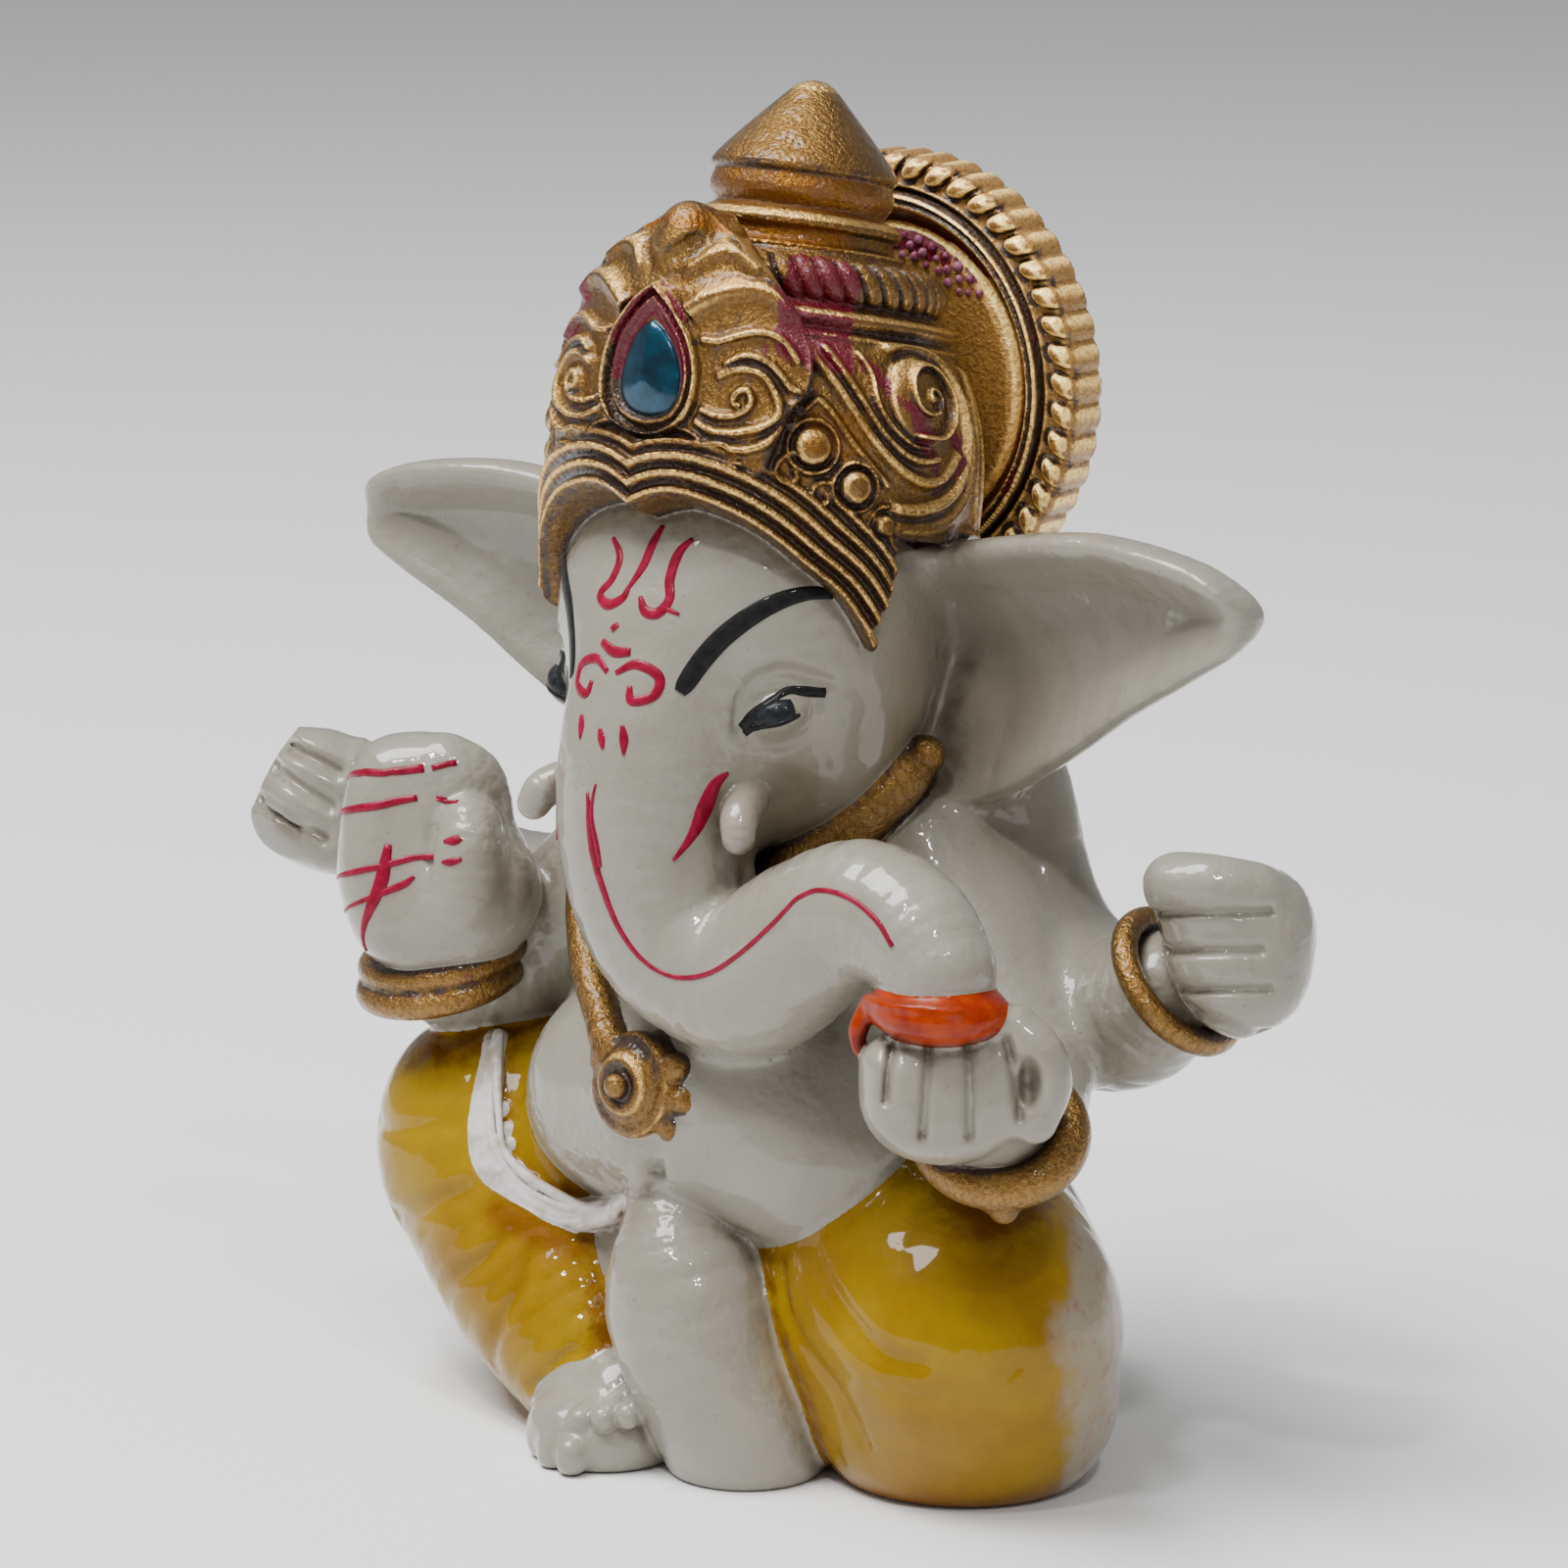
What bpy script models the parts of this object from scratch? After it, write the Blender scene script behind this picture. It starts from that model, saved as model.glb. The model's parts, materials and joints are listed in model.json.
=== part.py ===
"""Seated four-armed Ganesha idol, a palm-sized glazed and painted casting.

The figure faces -Y, +Z is up, and its own left side is +X.  The origin is on
the flat underside.  Sizes below are in millimetres and are turned into metres
where the shapes are made.
"""
import math

import bmesh
import bpy
from mathutils import Matrix, Vector

MM = 0.001
GAP = 0.3                 # parting line between neighbouring members
MERGE = 0.01 * MM         # merge distance of the modifiers

# Driving dimensions
HEAD_Z = 43.0             # centre of the skull above the ground
HEAD_Y = -3.0
HEAD_WIDTH = 20.6
EAR_SPAN = 57.4           # ear tip to ear tip
EAR_ROOT_X = 7.0          # where the ears leave the skull, out from the middle
REAR_HAND_LEFT_X = 30.0   # rear hands, out from the middle plane
REAR_HAND_RIGHT_X = 31.8
CROWN_BASE = (0.0, -2.0, 50.0)
CROWN_LEAN = math.radians(12.0)
CROWN_RADIUS = 11.2
HEIGHT_OF_CROWN = 23.0
HALO_CENTRE = (0.0, 10.2, 55.9)
HALO_RADIUS = 12.4
KNEE_RADIUS = 8.3
GROUND_DEPTH = 20.0

COLOURS = {
    "glazed_white": ((0.76, 0.76, 0.71), 0.18, 0.0),
    "yellow_paint": ((0.78, 0.55, 0.01), 0.22, 0.0),
    "gold_paint": ((0.62, 0.38, 0.11), 0.38, 0.85),
    "orange_paint": ((0.80, 0.10, 0.01), 0.25, 0.0),
    "blue_enamel": ((0.01, 0.10, 0.22), 0.25, 0.6),
    "white_brushwork": ((0.85, 0.83, 0.84), 0.45, 0.0),
}

SHAPES = {}               # node name -> the primitives it is made of


# ---------------------------------------------------------------- scene set-up

def clear_scene():
    """Remove every object that the file opened with."""
    for old in list(bpy.data.objects):
        bpy.data.objects.remove(old, do_unlink=True)


def collection(name):
    """Return a new collection linked to the scene."""
    made = bpy.data.collections.new(name)
    bpy.context.scene.collection.children.link(made)
    return made


def material(slot):
    """Return the material of a slot, made on first use."""
    found = bpy.data.materials.get(slot)
    if found:
        return found
    colour, roughness, metallic = COLOURS[slot]
    made = bpy.data.materials.new(slot)
    made.use_nodes = True
    shader = made.node_tree.nodes["Principled BSDF"]
    shader.inputs["Base Color"].default_value = (*colour, 1.0)
    shader.inputs["Roughness"].default_value = roughness
    shader.inputs["Metallic"].default_value = metallic
    return made


def object_from(name, mesh, place=None):
    """Wrap a mesh in an object in the cutters' collection."""
    obj = bpy.data.objects.new(name, mesh)
    CUTTERS.objects.link(obj)
    obj.matrix_world = place if place else Matrix.Identity(4)
    obj.hide_render = True
    obj.display_type = "WIRE"
    return obj


def metres(point):
    """Turn a point in millimetres into a vector in metres."""
    return Vector(point) * MM


# ------------------------------------------------------------------ primitives

def ball(name, centre, radii, turn=(0, 0, 0), segments=16, rings=10, grow=0.0):
    """An ellipsoid: centre, three radii and Euler turn in degrees."""
    mesh = bpy.data.meshes.new(name)
    bm = bmesh.new()
    bmesh.ops.create_uvsphere(bm, u_segments=segments, v_segments=rings, radius=1.0)
    size = [(radius + grow) * MM for radius in radii]
    bmesh.ops.scale(bm, vec=size, verts=bm.verts)
    bm.to_mesh(mesh)
    bm.free()
    angles = [math.radians(angle) for angle in turn]
    spin = Matrix.Rotation(angles[2], 4, "Z") @ Matrix.Rotation(angles[1], 4, "Y")
    spin = spin @ Matrix.Rotation(angles[0], 4, "X")
    return object_from(name, mesh, Matrix.Translation(metres(centre)) @ spin)


def smooth_route(points, steps):
    """Points of a Catmull-Rom curve through rows of (x, y, z, radius)."""
    rows = [Vector(row) for row in points]
    rows = [2 * rows[0] - rows[1]] + rows + [2 * rows[-1] - rows[-2]]
    route = []
    for i in range(1, len(rows) - 2):
        before, start, end, after = rows[i - 1:i + 3]
        for k in range(steps):
            t = k / steps
            turn = (end - before) * t
            bend = (2 * before - 5 * start + 4 * end - after) * t * t
            last = (3 * start - before - 3 * end + after) * t ** 3
            route.append(start + 0.5 * (turn + bend + last))
    route.append(rows[-2])
    return route


def rounded_ends(route):
    """Add points beyond both ends, so that a tube closes like a dome."""
    def cap(end, inner):
        along = (Vector(end[:3]) - Vector(inner[:3])).normalized()
        radius = end[3]
        rows = []
        for angle in (35.0, 70.0):
            out = Vector(end[:3]) + along * radius * math.sin(math.radians(angle))
            rows.append((*out, radius * math.cos(math.radians(angle))))
        return rows
    head = cap(route[0], route[1])
    tail = cap(route[-1], route[-2])
    return head[::-1] + [tuple(row) for row in route] + tail


def limb(name, points, steps=2, sides=8, closed=False, grow=0.0):
    """A tube with its own radius at each point (x, y, z, radius)."""
    rows = [(x, y, z, radius + grow) for x, y, z, radius in points]
    if closed:
        route = [tuple(row) for row in rows]
    else:
        route = rounded_ends(smooth_route(rows, steps))
    data = bpy.data.curves.new(name, "CURVE")
    data.dimensions = "3D"
    data.bevel_depth = MM
    data.bevel_resolution = sides // 2 - 2
    data.use_fill_caps = not closed
    spline = data.splines.new("POLY")
    spline.points.add(len(route) - 1)
    spline.use_cyclic_u = closed
    for point, (x, y, z, radius) in zip(spline.points, route):
        point.co = (x * MM, y * MM, z * MM, 1.0)
        point.radius = radius
    source = bpy.data.objects.new(name + "_curve", data)
    CUTTERS.objects.link(source)
    depsgraph = bpy.context.evaluated_depsgraph_get()
    mesh = bpy.data.meshes.new_from_object(source.evaluated_get(depsgraph))
    bpy.data.objects.remove(source, do_unlink=True)
    bm = bmesh.new()
    bm.from_mesh(mesh)
    bmesh.ops.remove_doubles(bm, verts=bm.verts, dist=MERGE)
    bmesh.ops.recalc_face_normals(bm, faces=bm.faces)
    if bm.calc_volume(signed=True) < 0:
        bmesh.ops.reverse_faces(bm, faces=bm.faces)
    bm.to_mesh(mesh)
    bm.free()
    return object_from(name, mesh)


def hoop(name, centre, radii, wire, turn=(0, 0, 0), count=14, grow=0.0):
    """A closed ring: an ellipse of round wire, turned by Euler degrees."""
    angles = [math.radians(angle) for angle in turn]
    spin = Matrix.Rotation(angles[2], 4, "Z") @ Matrix.Rotation(angles[1], 4, "Y")
    spin = spin @ Matrix.Rotation(angles[0], 4, "X")
    rows = []
    for k in range(count):
        angle = math.tau * k / count
        flat = Vector((radii[0] * math.cos(angle), radii[1] * math.sin(angle), 0.0))
        rows.append((*(Vector(centre) + spin @ flat), wire))
    return limb(name, rows, sides=6, closed=True, grow=grow)


def turned(name, profile, place, steps=24, grow=0.0):
    """A turned solid: profile rows (radius, height), down its outer side."""
    top = max(height for _, height in profile)
    bottom = min(height for _, height in profile)
    mesh = bpy.data.meshes.new(name)
    bm = bmesh.new()
    verts = []
    for radius, height in profile:
        wide = radius + grow if radius > 0 else 0.0
        lift = grow if height == top else -grow if height == bottom else 0.0
        verts.append(bm.verts.new((wide * MM, 0.0, (height + lift) * MM)))
    for first, second in zip(verts, verts[1:]):
        bm.edges.new((first, second))
    bm.to_mesh(mesh)
    bm.free()
    obj = object_from(name, mesh, place)
    screw = obj.modifiers.new("turn", "SCREW")
    screw.axis = "Z"
    screw.steps = steps
    screw.render_steps = steps
    screw.use_merge_vertices = True
    screw.merge_threshold = MERGE
    return obj


def sheet(name, point_at, columns, rows, thickness, grow=0.0):
    """A curved plate: point_at(u, v) gives its middle surface, u and v 0 to 1."""
    mesh = bpy.data.meshes.new(name)
    bm = bmesh.new()
    bmesh.ops.create_grid(bm, x_segments=columns, y_segments=rows, size=0.5)
    for vert in bm.verts:
        vert.co = metres(point_at(vert.co.x + 0.5, vert.co.y + 0.5))
    bmesh.ops.recalc_face_normals(bm, faces=bm.faces)
    bm.to_mesh(mesh)
    bm.free()
    obj = object_from(name, mesh)
    shell = obj.modifiers.new("shell", "SOLIDIFY")
    shell.thickness = (thickness + 2 * grow) * MM
    shell.offset = 0.0
    shell.use_even_offset = True
    return obj


# ---------------------------------------------------------- nodes from shapes

def combine(target, other, operation, solver="EXACT"):
    """Add a Boolean modifier of one object on another."""
    cut = target.modifiers.new(operation.lower(), "BOOLEAN")
    cut.operation = operation
    cut.object = other
    cut.solver = solver


def make(name, index, spec, grow=0.0):
    """Build one primitive of a node from its (maker, keywords) row."""
    maker, keywords = spec
    return maker(f"{name}_shape_{index}_{int(grow > 0)}", grow=grow, **keywords)


def node(name, slot, shapes, cut_by=(), grounded=False, solver="EXACT"):
    """Join shapes into one named body and part it from its neighbours."""
    SHAPES[name] = shapes
    body = make(name, 0, shapes[0])
    for index, spec in enumerate(shapes[1:], start=1):
        combine(body, make(name, index, spec), "UNION")
    for other in cut_by:
        for index, spec in enumerate(SHAPES[other]):
            cutter = make(f"{name}_from_{other}", index, spec, GAP)
            combine(body, cutter, "DIFFERENCE", solver)
    if grounded:
        combine(body, GROUND, "DIFFERENCE")
    CUTTERS.objects.unlink(body)
    PARTS.objects.link(body)
    body.name = name
    body.data.name = name
    body.hide_render = False
    body.display_type = "TEXTURED"
    body.data.materials.clear()
    body.data.materials.append(material(slot))
    body.data.shade_smooth()
    return body


def same_side(shapes):
    """The primitives as they are, for the side they were modelled on."""
    return shapes


def mirrored(shapes):
    """The same primitives on the figure's other side."""
    result = []
    for maker, keywords in shapes:
        flipped = dict(keywords)
        if "points" in flipped:
            flipped["points"] = [(-x, y, z, r) for x, y, z, r in flipped["points"]]
        if "centre" in flipped:
            x, y, z = flipped["centre"]
            flipped["centre"] = (-x, y, z)
        if "turn" in flipped:
            a, b, c = flipped["turn"]
            flipped["turn"] = (a, -b, -c)
        if "point_at" in flipped:
            flipped["point_at"] = other_side(flipped["point_at"])
        result.append((maker, flipped))
    return result


def other_side(point_at):
    """A surface function mirrored in the middle plane."""
    def point(u, v):
        x, y, z = point_at(u, v)
        return (-x, y, z)
    return point


# ------------------------------------------------------------- head and trunk

def build_head():
    """Skull with full cheeks, trunk swept to the figure's left, tusks, ears."""
    node("head", "glazed_white", [
        (ball, dict(centre=(0, HEAD_Y, HEAD_Z), radii=(HEAD_WIDTH / 2, 9.9, 10.6),
                    segments=18, rings=10)),
        (ball, dict(centre=(0, -4.5, 38.4), radii=(8.6, 7.4, 5.6))),
    ])
    node("trunk", "glazed_white", [
        (limb, dict(points=[(0, -8.6, 43.5, 5.4), (0, -10.6, 38.0, 5.3),
                            (0.3, -11.2, 33.0, 5.0), (2.2, -11.1, 29.0, 4.7),
                            (6.5, -11.2, 27.6, 4.3), (10.6, -11.8, 30.2, 4.1),
                            (14.8, -12.4, 32.4, 3.7), (18.3, -13.0, 31.9, 3.2),
                            (20.3, -13.4, 30.4, 2.6)])),
    ], cut_by=["head"])
    for side, flip in (("left", 1), ("right", -1)):
        node(f"tusk_{side}", "glazed_white", [
            (limb, dict(points=[(flip * 5.2, -9.6, 36.6, 1.2), (flip * 6.6, -13.4, 35.0, 0.9)],
                        steps=1, sides=6)),
        ], cut_by=["head", "trunk"])


def ear_point(u, v):
    """Middle surface of the left ear: u from root to tip, v from low to high."""
    tip = EAR_SPAN / 2 - 1.0
    x = EAR_ROOT_X + (tip - EAR_ROOT_X) * u
    upper = 48.2 + 2.0 * math.sin(math.pi * u) + 0.2 * u
    lower = 37.0 + 0.9 * u + 9.0 * u ** 2.2
    z = lower + (upper - lower) * v
    cup = 3.0 * math.sin(math.pi * v) * (1 - 0.6 * u)
    y = 0.8 + cup - 2.4 * u * u + 1.0 * (1 - u) * (1 - v)
    return (x, y, z)


def build_ears():
    """Two wide cupped ears."""
    left = [(sheet, dict(point_at=ear_point, columns=9, rows=6, thickness=2.0))]
    others = ["head", "crown_dome", "crown_brim"]
    node("ear_left", "glazed_white", left, cut_by=others, solver="MANIFOLD")
    node("ear_right", "glazed_white", mirrored(left), cut_by=others, solver="MANIFOLD")


# ---------------------------------------------------------------------- crown

def crown_place():
    """Matrix from the crown's own axis to the figure."""
    return Matrix.Translation(metres(CROWN_BASE)) @ Matrix.Rotation(-CROWN_LEAN, 4, "X")


def dome_radius(height):
    """Outer radius of the crown's dome at a height above its base."""
    return CROWN_RADIUS * math.sqrt(max(0.0, 1.0 - ((height - 2.0) / 12.5) ** 2))


def crown_point(angle, height, radius):
    """A point around the crown: angle 0 is its front, 90 degrees its left."""
    flat = Vector((radius * math.sin(angle), -radius * math.cos(angle), height))
    lean = Matrix.Rotation(-CROWN_LEAN, 3, "X")
    return Vector(CROWN_BASE) + lean @ flat


def plate_point(u, v):
    """Middle surface of the leaf-shaped front plate, v from brim to knob."""
    width = 7.4 * math.sin(math.pi * (0.62 - 0.55 * v)) ** 0.85
    height = 1.6 + 13.2 * v
    radius = CROWN_RADIUS + 0.3 - 2.6 * v * v
    angle = (2 * u - 1) * width / CROWN_RADIUS
    return crown_point(angle, height, radius)


def scroll_points(side):
    """A spiral ridge lying on the dome beside the ear."""
    rows = []
    turns = 1.5
    count = 18
    for k in range(count):
        share = k / (count - 1)
        angle = math.tau * turns * share
        size = 3.2 * (1 - 0.78 * share)
        height = 6.0 + size * math.sin(angle)
        sweep = math.radians(92.0) + size * math.cos(angle) / CROWN_RADIUS
        wire = 0.75 - 0.25 * share
        radius = dome_radius(height) + wire + GAP
        point = crown_point(side * sweep, height, radius)
        rows.append((*point, wire))
    return rows


def build_crown():
    """Dome, ring stack, finial, brim, front plate, gem and side scrolls."""
    place = crown_place()
    levels = [9.4 - 9.4 * k / 7 for k in range(8)]
    dome = [(0.0, 9.4)] + [(dome_radius(level), level) for level in levels] + [(0.0, 0.0)]
    node("crown_dome", "gold_paint", [(turned, dict(profile=dome, place=place))],
         cut_by=["head"])
    ring = [(0.0, 10.9), (8.2, 10.9), (8.7, 10.3), (8.2, 9.7), (0.0, 9.7)]
    node("crown_ring", "gold_paint", [(turned, dict(profile=ring, place=place))])
    rope = [(0.0, 13.3), (6.9, 13.3), (7.9, 12.9), (8.3, 12.2), (7.9, 11.5), (6.9, 11.2),
            (0.0, 11.2)]
    node("crown_rope_ring", "gold_paint", [(turned, dict(profile=rope, place=place))])
    collar = [(0.0, 16.0), (4.4, 16.0), (5.3, 15.5), (5.0, 14.9), (5.3, 14.2), (5.9, 13.6),
              (0.0, 13.6)]
    node("crown_collar", "gold_paint",
         [(turned, dict(profile=collar, place=place, steps=24))])
    finial = [(0.0, HEIGHT_OF_CROWN), (0.8, 22.8), (1.5, 22.2), (4.8, 17.9), (5.1, 17.2),
              (4.7, 16.7), (3.6, 16.3), (0.0, 16.3)]
    node("crown_finial", "gold_paint",
         [(turned, dict(profile=finial, place=place, steps=24))])
    temple = [(9.9, -5.6, 45.6, 0.8), (10.5, -7.2, 48.6, 1.2), (8.0, -10.6, 51.2, 1.5),
              (3.8, -12.9, 52.4, 1.5)]
    middle = [(0.0, -13.6, 52.5, 1.6)]
    brim = temple + middle + [(-x, y, z, r) for x, y, z, r in reversed(temple)]
    node("crown_brim", "gold_paint", [(limb, dict(points=brim, steps=2))],
         cut_by=["head", "crown_dome"])
    node("crown_gem", "blue_enamel", [
        (ball, dict(centre=(0, -12.4, 58.9), radii=(1.95, 1.2, 2.5), turn=(-12, 0, 0),
                    segments=14, rings=8)),
    ])
    node("crown_front_plate", "gold_paint", [
        (sheet, dict(point_at=plate_point, columns=8, rows=7, thickness=1.8)),
    ], cut_by=["crown_dome", "crown_brim", "crown_gem", "crown_ring", "crown_rope_ring"])
    for side, flip in (("left", 1), ("right", -1)):
        node(f"crown_scroll_{side}", "gold_paint", [
            (limb, dict(points=scroll_points(flip), steps=1, sides=6)),
        ], cut_by=["crown_brim"])


# ----------------------------------------------------------------------- halo

def build_halo():
    """Disc, raised ring and beaded border, facing forward behind the crown."""
    place = Matrix.Translation(metres(HALO_CENTRE)) @ Matrix.Rotation(math.pi / 2, 4, "X")
    inner = HALO_RADIUS - 3.2
    middle = HALO_RADIUS - 2.0
    touching = ["head", "crown_dome", "crown_ring", "crown_rope_ring"]
    disc = [(0.0, 0.9), (inner - 0.6, 0.9), (inner, 0.6), (inner, -1.2), (0.0, -1.6)]
    node("halo_disc", "gold_paint", [(turned, dict(profile=disc, place=place))],
         cut_by=touching)
    raised = [(inner + GAP, 1.2), (inner + 0.7, 1.7), (middle - 0.2, 1.2), (middle - 0.2, -1.3),
              (inner + GAP, -1.3), (inner + GAP, 1.2)]
    node("halo_ring", "gold_paint", [(turned, dict(profile=raised, place=place))],
         cut_by=touching)
    outer = HALO_RADIUS
    border = [(middle + 0.1, 1.3), (outer - 0.8, 1.5), (outer, 0.6), (outer, -0.6),
              (outer - 0.8, -1.4), (middle + 0.1, -1.4), (middle + 0.1, 1.3)]
    node("halo_border", "gold_paint", [(turned, dict(profile=border, place=place, steps=36))],
         cut_by=touching)


# ----------------------------------------------------- arms, hands and bangles

def build_rear_arms():
    """Rear arms reach out sideways and end in loosely closed hands."""
    for side, x, mirror in (("left", REAR_HAND_LEFT_X, same_side),
                            ("right", REAR_HAND_RIGHT_X, mirrored)):
        rear_arm(side, x, mirror)


def rear_arm(side, x, mirror):
    """One rear arm, modelled on the left, its hand centred x from the middle."""
    arm = [(limb, dict(points=[(10.5, 4.6, 29.0, 4.4), (15.5, 4.4, 25.2, 4.6),
                               (20.5, 2.8, 25.0, 4.1), (x - 5.8, 1.2, 27.0, 3.2)]))]
    hand = [(ball, dict(centre=(x - 0.8, 0.0, 30.4), radii=(4.3, 3.5, 4.6), segments=10,
                        rings=7))]
    for k in range(4):
        level = 33.4 - 2.0 * k
        reach = 0.9 if k == 3 else 0.0
        hand.append((limb, dict(points=[(x - 3.4, -2.5, level, 1.15), (x, -3.3, level, 1.2),
                                        (x + 3.0 - reach, -1.2, level, 1.1)],
                                steps=1, sides=6)))
    bangle = [(hoop, dict(centre=(x - 4.8, 0.7, 27.8), radii=(3.6, 3.6), wire=0.55,
                          turn=(-10, 50, -10)))]
    node(f"bangle_rear_{side}", "gold_paint", mirror(bangle))
    node(f"hand_rear_{side}", "glazed_white", mirror(hand),
         cut_by=[f"bangle_rear_{side}"])
    node(f"arm_rear_{side}", "glazed_white", mirror(arm),
         cut_by=[f"bangle_rear_{side}", f"hand_rear_{side}"])


def build_blessing_arm():
    """Right front arm: elbow on the knee, open palm facing forward."""
    bangles = ["bangle_front_right_upper", "bangle_front_right_lower"]
    for name, level in zip(bangles, (25.1, 23.5)):
        node(name, "gold_paint", [
            (hoop, dict(centre=(-18.0, -7.6, level), radii=(4.2, 3.5), wire=0.6,
                        turn=(-8, -8, 0))),
        ])
    hand = [(ball, dict(centre=(-18.0, -8.8, 30.0), radii=(4.9, 2.9, 5.2), turn=(6, 0, -12),
                        segments=16, rings=10))]
    for k in range(4):
        x = -21.2 + 2.0 * k
        top = 36.2 + (0.5 if k in (1, 2) else -0.4)
        hand.append((limb, dict(points=[(x, -8.8, 31.0, 1.3), (x, -9.6, 34.0, 1.35),
                                        (x, -8.8, top - 0.6, 1.1)], steps=1, sides=6)))
    hand.append((limb, dict(points=[(-15.2, -10.0, 29.2, 1.6), (-15.3, -11.8, 31.4, 1.5),
                                    (-15.8, -11.6, 33.4, 1.2)], steps=1, sides=6)))
    node("hand_front_right", "glazed_white", hand, cut_by=bangles)
    node("arm_front_right", "glazed_white", [
        (limb, dict(points=[(-9.2, 0.8, 31.6, 3.8), (-12.6, -0.4, 27.6, 4.0),
                            (-15.8, -3.2, 23.6, 3.9), (-17.9, -6.6, 23.4, 3.4),
                            (-18.0, -7.8, 26.0, 3.0)])),
    ], cut_by=["head", "arm_rear_right", "hand_front_right"] + bangles)


def build_sweet_arm():
    """Left front arm: the hand holds up a sweet that the trunk's tip touches."""
    node("sweet", "orange_paint", [
        (ball, dict(centre=(20.6, -13.9, 28.3), radii=(3.6, 3.2, 2.0), segments=16, rings=8)),
    ], cut_by=["trunk"])
    node("bangle_front_left", "gold_paint", [
        (hoop, dict(centre=(21.2, -9.4, 20.9), radii=(3.9, 3.4), wire=0.9,
                    turn=(38, 16, 0))),
        (ball, dict(centre=(23.4, -10.8, 17.9), radii=(0.8, 0.8, 0.7), segments=10, rings=6)),
    ])
    hand = [(ball, dict(centre=(21.6, -13.0, 24.3), radii=(5.0, 3.6, 3.8), segments=10,
                        rings=7))]
    for k in range(4):
        x = 17.9 + 2.1 * k
        y = -15.4 + 0.35 * k
        hand.append((limb, dict(points=[(x, y + 0.8, 22.4, 1.2), (x, y, 24.8, 1.3),
                                        (x, y + 1.0, 27.2, 1.0)], steps=1, sides=6)))
    hand.append((limb, dict(points=[(26.0, -11.6, 23.4, 1.5), (26.4, -12.4, 25.6, 1.5),
                                    (25.2, -13.2, 27.4, 1.2)], steps=1, sides=6)))
    node("hand_front_left", "glazed_white", hand,
         cut_by=["sweet", "trunk", "bangle_front_left"])
    node("arm_front_left", "glazed_white", [
        (limb, dict(points=[(9.2, 0.8, 31.6, 3.8), (13.4, -0.2, 27.4, 4.0),
                            (17.4, -2.4, 22.6, 3.8), (20.2, -7.0, 20.6, 3.3),
                            (21.6, -10.6, 22.4, 2.9)])),
    ], cut_by=["head", "trunk", "bangle_front_left", "hand_front_left", "arm_rear_left"])


# ------------------------------------------------------- trunk of the body, legs

def build_body():
    """Belly, chest and hips, with the necklace, pendant and waist sash."""
    arms = ["arm_front_left", "arm_front_right", "arm_rear_left", "arm_rear_right"]
    node("pendant", "gold_paint", [
        (ball, dict(centre=(0, -12.6, 20.8), radii=(2.9, 1.4, 2.9), turn=(-14, 0, 0),
                    segments=16, rings=8)),
        (ball, dict(centre=(0, -14.0, 20.9), radii=(0.9, 0.8, 0.9), segments=10, rings=6)),
    ])
    left = [(8.8, -3.0, 34.6, 0.9), (8.2, -5.0, 31.0, 0.9), (5.6, -5.4, 26.6, 0.9),
            (1.6, -9.6, 23.0, 0.9)]
    right = [(-8.8, -3.0, 34.6, 0.9), (-8.2, -5.8, 31.0, 0.9), (-5.2, -7.4, 26.6, 0.9),
             (-1.6, -10.4, 23.2, 0.9)]
    node("necklace_left", "gold_paint", [(limb, dict(points=left, sides=6))],
         cut_by=["head", "trunk", "pendant", "arm_front_left"])
    node("necklace_right", "gold_paint", [(limb, dict(points=right, sides=6))],
         cut_by=["head", "trunk", "pendant", "necklace_left", "arm_front_right"])
    touching = ["head", "trunk", "pendant", "necklace_left", "necklace_right"] + arms
    node("torso", "glazed_white", [
        (ball, dict(centre=(0.4, -2.0, 19.0), radii=(12.8, 11.4, 8.4), segments=18,
                    rings=10)),
        (ball, dict(centre=(0, 1.0, 28.6), radii=(11.6, 8.0, 9.6), segments=18, rings=10)),
        (ball, dict(centre=(0, 5.4, 30.0), radii=(14.6, 5.6, 8.8), segments=18, rings=10)),
    ], cut_by=touching)


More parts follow.
